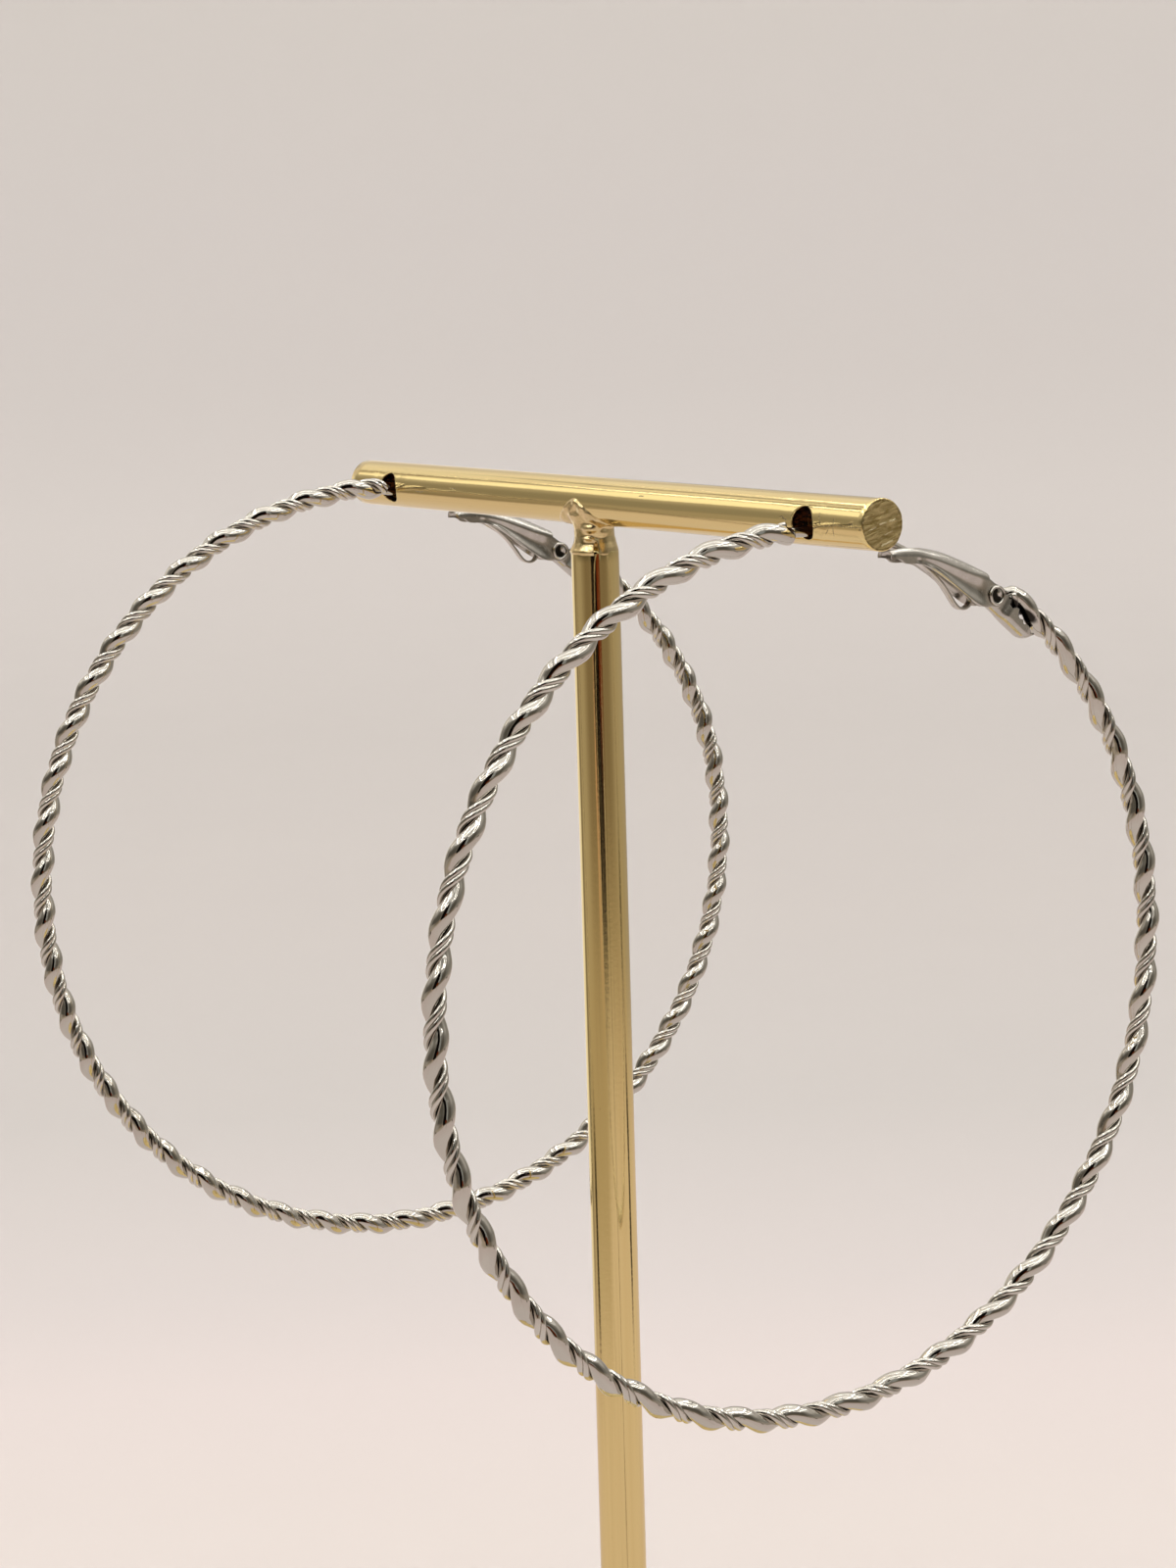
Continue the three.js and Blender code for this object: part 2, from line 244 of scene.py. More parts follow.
def merge(parts):
    """Joins (verts, faces, lay, material index) lists."""
    verts, faces, lays, mats, base = [], [], [], [], 0
    for v, f, lay, m in parts:
        verts.append(v)
        lays.append(lay)
        faces += [tuple(i + base for i in face) for face in f]
        mats += [m] * len(f)
        base += len(v)
    return np.vstack(verts), faces, np.vstack(lays), mats


# ------------------------------------------------------------------ shader help
class S:
    """A shader value that takes ordinary arithmetic."""

    def __init__(self, tree, socket):
        self.tree, self.socket = tree, socket

    def _math(self, op, *others, clamp=False):
        node = self.tree.nodes.new("ShaderNodeMath")
        node.operation = op
        node.use_clamp = clamp
        for i, v in enumerate((self, *others)):
            if isinstance(v, S):
                self.tree.links.new(v.socket, node.inputs[i])
            else:
                node.inputs[i].default_value = v
        return S(self.tree, node.outputs[0])

    def __add__(self, o): return self._math("ADD", o)
    def __radd__(self, o): return self._math("ADD", o)
    def __sub__(self, o): return self._math("SUBTRACT", o)
    def __mul__(self, o): return self._math("MULTIPLY", o)
    def __rmul__(self, o): return self._math("MULTIPLY", o)
    def __truediv__(self, o): return self._math("DIVIDE", o)
    def abs(self): return self._math("ABSOLUTE")
    def max(self, o): return self._math("MAXIMUM", o)
    def min(self, o): return self._math("MINIMUM", o)
    def atan2(self, o): return self._math("ARCTAN2", o)
    def asin(self): return self._math("ARCSINE")
    def power(self, o): return self._math("POWER", o)
    def fract(self): return self._math("FRACT")
    def invert(self): return self._math("MULTIPLY_ADD", -1.0, 1.0)

    def step(self, lo, hi):
        """0 below lo, 1 above hi, smooth between; lo may be above hi."""
        node = self.tree.nodes.new("ShaderNodeMapRange")
        node.interpolation_type = "SMOOTHSTEP"
        flip = lo > hi
        a, b = (hi, lo) if flip else (lo, hi)
        node.inputs["From Min"].default_value = a
        node.inputs["From Max"].default_value = b
        node.inputs["To Min"].default_value = 1.0 if flip else 0.0
        node.inputs["To Max"].default_value = 0.0 if flip else 1.0
        self.tree.links.new(self.socket, node.inputs["Value"])
        return S(self.tree, node.outputs["Result"])

    def window(self, lo, hi, soft):
        return self.step(lo - soft, lo + soft) * self.step(hi + soft, hi - soft)

    def range(self, a, b, lo, hi):
        node = self.tree.nodes.new("ShaderNodeMapRange")
        node.inputs["From Min"].default_value = a
        node.inputs["From Max"].default_value = b
        node.inputs["To Min"].default_value = lo
        node.inputs["To Max"].default_value = hi
        self.tree.links.new(self.socket, node.inputs["Value"])
        return S(self.tree, node.outputs["Result"])


def link(tree, value, socket):
    tree.links.new(value.socket if isinstance(value, S) else value, socket)


def mix(tree, factor, a, b, blend="MIX"):
    """Colour mix; a and b are colours or S."""
    node = tree.nodes.new("ShaderNodeMix")
    node.data_type = "RGBA"
    node.blend_type = blend
    ins = {"f": node.inputs[0], "a": node.inputs[6], "b": node.inputs[7]}
    for key, v in (("f", factor), ("a", a), ("b", b)):
        if isinstance(v, S):
            tree.links.new(v.socket, ins[key])
        elif key == "f":
            ins[key].default_value = v
        else:
            ins[key].default_value = (*v, 1.0)
    return S(tree, node.outputs[2])


def coords(tree, attribute=None, scale=(1, 1, 1)):
    """Object position in mm, or a named vector attribute, scaled."""
    if attribute is None:
        source = tree.nodes.new("ShaderNodeTexCoord").outputs["Object"]
        factor = 1000.0
    else:
        node = tree.nodes.new("ShaderNodeAttribute")
        node.attribute_name = attribute
        source = node.outputs["Vector"]
        factor = 1.0
    node = tree.nodes.new("ShaderNodeMapping")
    node.inputs["Scale"].default_value = tuple(factor * s for s in scale)
    tree.links.new(source, node.inputs["Vector"])
    return node.outputs["Vector"]


def noise(tree, vector, scale, detail=3.0, rough=0.55, distort=0.0):
    node = tree.nodes.new("ShaderNodeTexNoise")
    node.inputs["Scale"].default_value = scale
    node.inputs["Detail"].default_value = detail
    node.inputs["Roughness"].default_value = rough
    node.inputs["Distortion"].default_value = distort
    tree.links.new(vector, node.inputs["Vector"])
    return S(tree, node.outputs["Fac"])


def bump(tree, height, distance_mm, strength=1.0, normal=None):
    node = tree.nodes.new("ShaderNodeBump")
    node.inputs["Strength"].default_value = strength
    node.inputs["Distance"].default_value = distance_mm * MM
    link(tree, height, node.inputs["Height"])
    if normal is not None:
        tree.links.new(normal, node.inputs["Normal"])
    return node.outputs["Normal"]


def metal(name, viewport):
    mat = bpy.data.materials.new(name)
    mat.use_nodes = True
    mat.diffuse_color = (*viewport, 1.0)
    tree = mat.node_tree
    shader = tree.nodes["Principled BSDF"]
    shader.inputs["Metallic"].default_value = 1.0
    return mat, tree, shader


# ------------------------------------------------------------------ materials
def silver_wire(name, draw=1.0, rough=0.045, crevice_shade=True, tone=(0.610, 0.575, 0.520)):
    """Polished drawn wire: fine lines along it, faint dents, painted shade where wires meet."""
    mat, tree, shader = metal(name, tone)
    lines = noise(tree, coords(tree, "lay", (0.30, 7.0, 7.0)), 1.5, 3.0, 0.6)
    dents = noise(tree, coords(tree, "lay", (0.7, 1.0, 1.0)), 1.1, 2.0, 0.5)
    specks = noise(tree, coords(tree, "lay", (3.0, 5.0, 5.0)), 2.0, 2.0, 0.6)
    tint = noise(tree, coords(tree, "lay", (0.12, 0.6, 0.6)), 1.0, 2.0, 0.5)
    colour = mix(tree, tint.range(0.3, 0.7, 0.0, 1.0), tuple(0.92 * c for c in tone), tone)
    colour = mix(tree, lines.step(0.58, 0.78) * 0.20, colour, (0.36, 0.33, 0.29))
    colour = mix(tree, specks.step(0.70, 0.80) * 0.30, colour, (0.25, 0.22, 0.18))
    roughness = lines.range(0.3, 0.75, rough - 0.02, rough + 0.05)
    # painted shade: near-black colour where the wires touch, in place of the shade in the grooves
    if crevice_shade:
        node = tree.nodes.new("ShaderNodeAttribute")
        node.attribute_name = "crevice_shade"
        deep = S(tree, node.outputs["Fac"])
        ragged = (deep + dents.range(0.3, 0.7, -0.10, 0.10)).step(0.16, 0.62)
        colour = mix(tree, ragged * 0.97, colour, (0.016, 0.012, 0.008))
        roughness = roughness + ragged * 0.25
    link(tree, colour, shader.inputs["Base Color"])
    link(tree, roughness.max(0.03), shader.inputs["Roughness"])
    height = lines * 0.22 * draw + dents * 0.8
    tree.links.new(bump(tree, height, 0.010), shader.inputs["Normal"])
    return mat


def silver_sheet(name, tone=(0.60, 0.57, 0.525), rough=0.20, recess_shade=False):
    """Stamped and tumbled sheet: soft sheen, small dings, dull grain."""
    mat, tree, shader = metal(name, tone)
    grain = noise(tree, coords(tree, None, (1, 1, 1)), 9.0, 3.0, 0.6)
    dings = noise(tree, coords(tree, None, (1, 1, 1)), 0.9, 2.0, 0.5)
    scratches = noise(tree, coords(tree, None, (1.0, 1.1, 9.0)), 2.6, 2.0, 0.5, 0.4)
    colour = mix(tree, dings.range(0.3, 0.7, 0.0, 1.0), tuple(0.88 * c for c in tone), tone)
    colour = mix(tree, grain.step(0.62, 0.8) * 0.25, colour, (0.33, 0.30, 0.26))
    # painted shade: near-black colour in the shaded hollows that the attribute marks
    if recess_shade:
        node = tree.nodes.new("ShaderNodeAttribute")
        node.attribute_name = "crevice_shade"
        deep = (S(tree, node.outputs["Fac"]) + dings.range(0.3, 0.7, -0.1, 0.1)).step(0.25, 0.75)
        colour = mix(tree, deep * 0.97, colour, (0.016, 0.013, 0.010))
    link(tree, colour, shader.inputs["Base Color"])
    link(tree, grain.range(0.3, 0.75, rough - 0.05, rough + 0.08)
         + scratches.step(0.62, 0.72) * 0.04, shader.inputs["Roughness"])
    height = grain * 0.05 + dings * 1.1 + scratches.step(0.60, 0.70) * -0.03
    tree.links.new(bump(tree, height, 0.014), shader.inputs["Normal"])
    return mat


def segment(tree, u, v, a, b, width):
    """1 on the line from a to b in the (u, v) plane, 0 away from it."""
    dx, dy = b[0] - a[0], b[1] - a[1]
    length = math.hypot(dx, dy)
    ux, uy = dx / length, dy / length
    p, q = u - a[0], v - a[1]
    along = (p * ux + q * uy).max(0.0).min(length)
    off_u, off_v = p - along * ux, q - along * uy
    away = (off_u * off_u + off_v * off_v).power(0.5)
    return away.step(width, width * 0.35)


def gold_rod(name, axis, tone=(0.86, 0.69, 0.33), rough=0.11, marks=()):
    """Lacquered brass rod: drawn lines along it, hairline scratches, faint spots."""
    mat, tree, shader = metal(name, tone)
    if axis == "x":
        draw, wide, spots_scale = (0.04, 3.0, 3.0), (0.02, 1.0, 1.0), (0.9, 1.0, 1.0)
    else:
        draw, wide, spots_scale = (3.0, 3.0, 0.04), (1.0, 1.0, 0.02), (1.0, 1.0, 0.9)
    lines = noise(tree, coords(tree, None, draw), 1.5, 3.0, 0.6)
    bands = noise(tree, coords(tree, None, wide), 1.0, 2.0, 0.5)
    spots = noise(tree, coords(tree, None, spots_scale), 2.6, 3.0, 0.6)
    grain = noise(tree, coords(tree, None, (1, 1, 1)), 8.0, 2.0, 0.5)
    colour = mix(tree, bands.range(0.35, 0.65, 0.0, 1.0), tuple(c * k for c, k in zip(tone, (0.95, 0.93, 0.90))), tone)
    colour = mix(tree, lines.step(0.60, 0.80) * 0.22, colour, (0.47, 0.34, 0.14))
    colour = mix(tree, spots.step(0.71, 0.80) * 0.40, colour, (0.36, 0.24, 0.09))
    height = lines * 0.22 + bands * 0.6 + grain * 0.05 + spots * 0.25
    roughness = (lines.range(0.3, 0.75, rough - 0.03, rough + 0.06)
                 + grain.range(0.35, 0.7, -0.015, 0.02) + spots.step(0.66, 0.8) * 0.10)
    if marks:
        split = tree.nodes.new("ShaderNodeSeparateXYZ")
        tree.links.new(coords(tree), split.inputs[0])
        wave = noise(tree, coords(tree, None, (1.6, 1.0, 1.0)), 1.3, 2.0, 0.6)
        u = S(tree, split.outputs[0]) + wave.range(0.3, 0.7, -0.05, 0.05)
        v = S(tree, split.outputs[2]) + wave.range(0.3, 0.7, -0.09, 0.09)
        front = S(tree, split.outputs[1]).step(-0.4, -1.0)
        dark = light = None
        for a, b, width, kind in marks:
            line = segment(tree, u, v, a, b, width)
            if kind == "dark":
                dark = line if dark is None else dark.max(line)
            else:
                light = line if light is None else light.max(line)
        worn = grain.range(0.35, 0.60, 0.35, 1.0)
        dark = dark * front * worn
        light = light * front * worn
        colour = mix(tree, dark * 0.88, colour, (0.055, 0.032, 0.010))
        colour = mix(tree, light * 0.75, colour, (0.95, 0.72, 0.36))
        roughness = roughness + dark * 0.25
        height = height - dark * 2.2 - light * 0.9
    link(tree, colour, shader.inputs["Base Color"])
    link(tree, roughness, shader.inputs["Roughness"])
    tree.links.new(bump(tree, height, 0.010), shader.inputs["Normal"])
    return mat


def gold_cut(name, tone=(0.56, 0.44, 0.205)):
    """Sawn end: ragged parallel tool marks and bright nicks, as the real cut shows."""
    mat, tree, shader = metal(name, tone)
    turned = tree.nodes.new("ShaderNodeMapping")
    turned.inputs["Rotation"].default_value = (math.radians(-14.0), 0.0, 0.0)
    tree.links.new(tree.nodes.new("ShaderNodeTexCoord").outputs["Object"], turned.inputs["Vector"])
    marks_at = tree.nodes.new("ShaderNodeMapping")
    marks_at.inputs["Scale"].default_value = (300.0, 800.0, 4000.0)
    tree.links.new(turned.outputs["Vector"], marks_at.inputs["Vector"])
    marks = noise(tree, marks_at.outputs["Vector"], 1.0, 4.0, 0.62, 0.5)
    pits = noise(tree, coords(tree, None, (1, 1, 1)), 5.0, 4.0, 0.6)
    colour = mix(tree, marks.range(0.40, 0.62, 0.0, 1.0), (0.33, 0.245, 0.09), (0.64, 0.51, 0.25))
    colour = mix(tree, pits.step(0.62, 0.74) * 0.35, colour, (0.80, 0.70, 0.42))
    split = tree.nodes.new("ShaderNodeSeparateXYZ")
    tree.links.new(coords(tree), split.inputs[0])
    wave = pits.range(0.3, 0.7, -0.08, 0.08)
    u, v = S(tree, split.outputs[1]) + wave, S(tree, split.outputs[2]) + wave
    nicks = None
    for a, b, width in (((0.0, -1.52), (0.95, -1.25), 0.09), ((-0.25, 0.05), (0.35, 0.16), 0.07),
                        ((0.7, 0.22), (1.15, 0.30), 0.08), ((-1.5, 1.3), (-0.9, 1.66), 0.06),
                        ((-1.2, -0.3), (-0.6, -0.15), 0.045), ((0.2, -0.75), (0.9, -0.55), 0.04)):
        line = segment(tree, u, v, (a[0], BAR_Z + a[1]), (b[0], BAR_Z + b[1]), width)
        nicks = line if nicks is None else nicks.max(line)
    colour = mix(tree, nicks * 0.8, colour, (0.98, 0.90, 0.62))
    away = ((u * u + (v - BAR_Z) * (v - BAR_Z)).power(0.5) + wave * 0.6)
    colour = mix(tree, away.window(1.80, 1.93, 0.03) * pits.step(0.42, 0.56) * 0.7, colour, (0.12, 0.08, 0.03))
    link(tree, colour, shader.inputs["Base Color"])
    link(tree, marks.range(0.3, 0.7, 0.30, 0.48), shader.inputs["Roughness"])
    height = marks * 2.0 + pits * 1.0 + nicks * 1.0
    tree.links.new(bump(tree, height, 0.05), shader.inputs["Normal"])
    return mat


def gold_bore(name):
    """Drilled hole's wall: dark, with reddish streaks of bare and oxidised metal."""
    mat, tree, shader = metal(name, (0.3, 0.15, 0.06))
    rings = noise(tree, coords(tree, None, (1.4, 0.6, 1.4)), 3.0, 4.0, 0.65, 0.6)
    drill = noise(tree, coords(tree, None, (0.6, 9.0, 0.6)), 1.2, 3.0, 0.6)
    colour = mix(tree, rings.step(0.44, 0.68), (0.012, 0.005, 0.003), (0.30, 0.085, 0.018))
    colour = mix(tree, drill.step(0.62, 0.74) * 0.5, colour, (0.60, 0.36, 0.12))
    link(tree, colour, shader.inputs["Base Color"])
    link(tree, rings.range(0.3, 0.7, 0.30, 0.55), shader.inputs["Roughness"])
    tree.links.new(bump(tree, rings * 1.0 + drill * 1.2, 0.03), shader.inputs["Normal"])
    return mat


def gold_solder(name, tone=(0.84, 0.66, 0.36)):
    """Plated-over solder: puddled, pitted, a little duller than the rod."""
    mat, tree, shader = metal(name, tone)
    lumps = noise(tree, coords(tree, None, (1, 1, 1)), 1.3, 3.0, 0.55, 0.3)
    grain = noise(tree, coords(tree, None, (1, 1, 1)), 9.0, 3.0, 0.6)
    colour = mix(tree, lumps.range(0.35, 0.65, 0.0, 1.0), (0.70, 0.54, 0.27), tone)
    colour = mix(tree, grain.step(0.64, 0.78) * 0.4, colour, (0.40, 0.27, 0.11))
    link(tree, colour, shader.inputs["Base Color"])
    link(tree, grain.range(0.3, 0.7, 0.15, 0.27), shader.inputs["Roughness"])
    tree.links.new(bump(tree, lumps * 0.7 + grain * 0.06, 0.030), shader.inputs["Normal"])
    return mat


def gold_foot(name, tone=(0.66, 0.53, 0.265)):
    """Turned disc: fine rings round the post, faint blotches and scuffs."""
    mat, tree, shader = metal(name, tone)
    node = tree.nodes.new("ShaderNodeTexCoord")
    split = tree.nodes.new("ShaderNodeSeparateXYZ")
    tree.links.new(node.outputs["Object"], split.inputs[0])
    x, y = S(tree, split.outputs[0]), S(tree, split.outputs[1])
    radius = (x * x + y * y).power(0.5) * 1000.0
    z = S(tree, split.outputs[2])
    combine = tree.nodes.new("ShaderNodeCombineXYZ")
    link(tree, radius * 5.0, combine.inputs[0])
    link(tree, z * 900.0, combine.inputs[1])
    link(tree, y.atan2(x) * 0.15, combine.inputs[2])
    turned = noise(tree, combine.outputs[0], 1.4, 4.0, 0.6)
    blot = noise(tree, coords(tree, None, (1, 1, 1)), 0.22, 4.0, 0.6)
    scuffs = noise(tree, coords(tree, None, (0.25, 1.6, 1.0)), 1.0, 4.0, 0.65, 0.8)
    colour = mix(tree, blot.range(0.35, 0.65, 0.0, 1.0), (0.59, 0.465, 0.22), tone)
    colour = mix(tree, scuffs.step(0.62, 0.72) * 0.25, colour, (0.52, 0.40, 0.18))
    link(tree, colour, shader.inputs["Base Color"])
    link(tree, turned.range(0.3, 0.7, 0.38, 0.50) + scuffs.step(0.6, 0.72) * 0.1,
         shader.inputs["Roughness"])
    tree.links.new(bump(tree, turned * 1.0 + scuffs * 0.5, 0.012), shader.inputs["Normal"])
    return mat


WIRE = silver_wire("silver_thick_wire")
FINE_WIRE = silver_wire("silver_thin_wire", rough=0.085, tone=(0.655, 0.62, 0.565))
PIN = silver_wire("silver_pin", draw=0.7, rough=0.12, crevice_shade=False)
SHEET_MAT = silver_sheet("silver_sheet")
SPRING_MAT = silver_sheet("silver_strip", tone=(0.66, 0.63, 0.585), rough=0.16)
RIVET_MAT = silver_sheet("silver_rivet", tone=(0.62, 0.59, 0.54), rough=0.16, recess_shade=True)
# near-black sheet for the bracket's inner faces: painted shade inside the cup
SHADED_INSIDE_MAT = silver_sheet("silver_inside_painted_shade", tone=(0.075, 0.066, 0.055), rough=0.34)
BZ = BAR_Z
BAR_MARKS = [
    # hairline crack from the front hole to the bar's end, with cross ticks
    ((31.5, BZ - 0.36), (32.3, BZ - 0.34), 0.07, "dark"), ((32.3, BZ - 0.34), (33.3, BZ - 0.15), 0.09, "dark"),
    ((33.3, BZ - 0.15), (34.4, BZ - 0.06), 0.06, "dark"), ((34.4, BZ - 0.06), (37.2, BZ - 0.14), 0.045, "dark"),
    ((32.22, BZ + 0.72), (32.46, BZ - 0.26), 0.05, "dark"), ((34.02, BZ + 0.40), (33.84, BZ - 0.85), 0.055, "dark"),
    ((35.8, BZ + 0.16), (36.2, BZ + 0.10), 0.10, "dark"), ((30.5, BZ + 1.2), (31.1, BZ + 1.1), 0.05, "dark"),
    ((32.9, BZ - 0.75), (33.3, BZ - 0.45), 0.04, "dark"), ((27.6, BZ + 0.30), (28.3, BZ + 0.05), 0.09, "dark"),
    ((28.3, BZ + 0.05), (28.0, BZ - 0.25), 0.05, "dark"), ((-24.6, BZ - 0.2), (-23.4, BZ - 0.25), 0.06, "dark"),
    ((-19.0, BZ + 0.35), (-18.2, BZ + 0.32), 0.05, "dark"), ((9.0, BZ + 0.95), (9.5, BZ + 0.93), 0.05, "dark"),
    ((31.35, BZ - 0.10), (31.75, BZ - 0.04), 0.06, "light"), ((31.4, BZ - 0.24), (32.0, BZ - 0.20), 0.05, "light"),
    ((35.9, BZ + 0.32), (36.3, BZ + 0.25), 0.05, "light"),
]
BAR_MAT = gold_rod("gold_bar", "x", marks=BAR_MARKS)
POST_MAT = gold_rod("gold_post", "z", rough=0.075)
CUT_MAT = gold_cut("gold_cut_end")
BORE_MAT = gold_bore("gold_bore")
SOLDER_MAT = gold_solder("gold_solder")
FOOT_MAT = gold_foot("gold_foot")


# ------------------------------------------------------------------ hoop frame
def hoop_axes(h):
    yaw, lean = math.radians(h["yaw"]), math.radians(h["lean"])
    n = np.array([math.cos(yaw) * math.cos(lean), math.sin(yaw) * math.cos(lean), math.sin(lean)])
    u = np.array([-math.sin(yaw), math.cos(yaw), 0.0])
    return n, u, np.cross(n, u)


def place(h, p):
    """(across, y, z) in the hoop's own plane to the row frame, mm."""
    n, u, v = hoop_axes(h)
    p = np.asarray(p, float)
    return np.array(h["centre"]) + p[..., :1] * n + p[..., 1:2] * u + p[..., 2:3] * v


def rope_radius(h, deg):
    return h["radius"] - h["inset"] * (1 - smoothstep(ROPE_END - np.asarray(deg, float), 0, EASE))


def rivet_at(h):
    r = h["radius"] - CLASP_INSIDE - h["inset"]
    a = math.radians(CLASP_ANGLE)
    return np.array([0.0, r * math.cos(a), r * math.sin(a)])


def twist(name, deg):
    """Direction of the pair of thin wires round the rope, from outwards towards the hoop's axis."""
    h = HOOPS[name]
    n, u, v = hoop_axes(h)
    bands = np.array(BANDS[name], float)
    k = np.arange(len(bands))
    even = np.polyval(np.polyfit(k / len(k), bands, 6), k / len(k))
    bands = 0.6 * bands + 0.4 * even
    a = np.radians(bands)
    spot = np.array(h["centre"]) + h["radius"] * (np.cos(a)[:, None] * u + np.sin(a)[:, None] * v)
    w = unit(EYE - spot)
    er = np.cos(a)[:, None] * u + np.sin(a)[:, None] * v
    beta = np.arctan2(w @ n, np.sum(w * er, 1))
    phase = beta - 2 * math.pi * k
    deg = np.asarray(deg, float)
    out = np.interp(deg, bands, phase)
    first = (phase[1] - phase[0]) / (bands[1] - bands[0])
    last = (phase[-1] - phase[-2]) / (bands[-1] - bands[-2])
    out = np.where(deg < bands[0], phase[0] + (deg - bands[0]) * first, out)
    return np.where(deg > bands[-1], phase[-1] + (deg - bands[-1]) * last, out)


def strand(name, start, end, steps, shift, off, radius, sides, caps, taper=None):
    h = HOOPS[name]
    deg = np.linspace(start, end, steps)
    a = np.radians(deg)
    er = np.stack([np.zeros_like(a), np.cos(a), np.sin(a)], -1)
    psi = twist(name, deg) + shift
    wander = 0.012 * np.sin(deg * 0.9 + shift * 3) + 0.008 * np.sin(deg * 0.37 + 1.3)
    r = rope_radius(h, deg)
    local = er * r[:, None]
    centre = local + (off + wander)[:, None] * (np.cos(psi)[:, None] * er
                                                + np.sin(psi)[:, None] * np.array([1.0, 0, 0]))
    radii = np.full(steps, radius) * (1 + 0.010 * np.sin(deg * 1.7) + 0.008 * np.sin(deg * 4.3 + 1))
    if taper is not None:
        radii = radii * taper(deg)
    pts = place(h, centre)
    verts, faces, lay = tube(pts, radii, sides, hoop_axes(h)[0], caps)
    # distance from each point to the neighbouring wires, for the painted shade in the grooves between them
    rings = len(verts) // sides
    row = np.clip(np.arange(rings) - (4 if caps[0] == "round" else 2), 0, steps - 1)
    axis_n = hoop_axes(h)[0]
    er_world = place(h, er) - place(h, np.zeros(3))
    middle = place(h, local)[row]
    rel = verts.reshape(rings, sides, 3) - middle[:, None]
    here = np.stack([np.sum(rel * er_world[row][:, None], -1), rel @ axis_n], -1)
    thin_phase = (psi - shift)[row]
    gap = np.full((rings, sides), 9.0)
    for turn, offset, size in ((math.pi, THICK_OFF, THICK), (-THIN_HALF, THIN_OFF, THIN),
                               (THIN_HALF, THIN_OFF, THIN)):
        if abs(turn - shift) < 1e-6:
            continue
        spot = offset * np.stack([np.cos(thin_phase + turn), np.sin(thin_phase + turn)], -1)
        gap = np.minimum(gap, np.linalg.norm(here - spot[:, None], axis=-1) - size)
    close = 1 - smoothstep(gap, 0.0, 0.20)
    # the underside of the rope's end sits in the shade of its bracket
    shade = smoothstep(deg[row], 408.5, 410.5)[:, None] * (1 - smoothstep(here[..., 0], -0.55, -0.10))
    return verts, faces, lay, np.maximum(close, shade).ravel()


def build_rope(name):
    h = HOOPS[name]
    body = "stand_and_hoops"
    node = f"hoop_{name}_ring"
    turns = len(BANDS[name])
    steps = 24 * turns

    def point(deg):
        return 1 - 0.45 * smoothstep(deg, 413.6, 414.6)

    v, f, lay, deep = strand(name, h["start"] + 0.15, 414.6, steps, math.pi, THICK_OFF, THICK, 28,
                             ("flat", "round"), point)
    thick = make(f"hoop_{name}_thick_wire", v, f, [WIRE], attributes={"lay": lay, "crevice_shade": deep},
                 sharp_deg=50)
    parts, deeps = [], []
    for i, sgn in enumerate((-1, 1)):
        v, f, lay, deep = strand(name, h["start"] + 0.1 + 0.25 * i, 414.2 + 0.3 * i, steps,
                                 sgn * THIN_HALF, THIN_OFF, THIN, 14, ("round", "round"))
        parts.append((v, f, lay, 0))
        deeps.append(deep)
    v, f, lay, _ = merge(parts)
    thin = make(f"hoop_{name}_thin_wires", v, f, [FINE_WIRE],
                attributes={"lay": lay, "crevice_shade": np.concatenate(deeps)})
    # ear pin, soldered into the rope's end
    route = [(y - h["centre"][1], z - (h["centre"][2] - BAR_Z)) for y, z in h["pin"]]
    line = catmull([(0.0, y, z) for y, z in route], 60)
    v, f, lay = tube(place(h, line), 0.4, 24, hoop_axes(h)[0], ("round", "round"))
    pin = make(f"hoop_{name}_pin", v, f, [PIN], attributes={"lay": lay})
    for piece in (thick, thin, pin):
        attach(piece, body)
        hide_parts(node)
    return thick, thin, pin


# ------------------------------------------------------------------ clasp
def curve(table, at):
    t = np.array(table, float)
    order = np.argsort(t[:, 0])
    x, y = t[order, 0], t[order, 1]
    # smooth through the points (monotone slopes)
    d = np.diff(y) / np.diff(x)
    m = np.r_[d[0], (d[:-1] + d[1:]) / 2, d[-1]]
    at = np.clip(np.asarray(at, float), x[0], x[-1])
    i = np.clip(np.searchsorted(x, at) - 1, 0, len(x) - 2)
    w = x[i + 1] - x[i]
    s = (at - x[i]) / w
    return ((2 * s ** 3 - 3 * s ** 2 + 1) * y[i] + (s ** 3 - 2 * s ** 2 + s) * w * m[i]
            + (-2 * s ** 3 + 3 * s ** 2) * y[i + 1] + (s ** 3 - s ** 2) * w * m[i + 1])


LEVER_CREST = [(-11.3, 4.02), (-10.6, 4.26), (-9.4, 4.4), (-7.7, 4.33), (-5.3, 3.86), (-3.3, 3.12),
               (-1.3, 2.22), (-0.5, 1.84)]
LEVER_FOLD = [(-11.3, 3.78), (-10.6, 3.92), (-9.25, 3.98), (-7.7, 3.82), (-6.1, 3.40), (-4.15, 2.68),
              (-2.36, 2.02), (-0.75, 1.56), (-0.2, 1.3), (0.3, 0.98)]
LEVER_BOTTOM = [(-11.3, 3.70), (-10.4, 3.66), (-9.5, 3.50), (-9.2, 3.26), (-7.8, 3.08), (-6.4, 2.62),
                (-4.6, 1.42), (-2.9, 0.14), (-1.75, -0.62), (-1.0, -0.86), (-0.62, -0.92)]


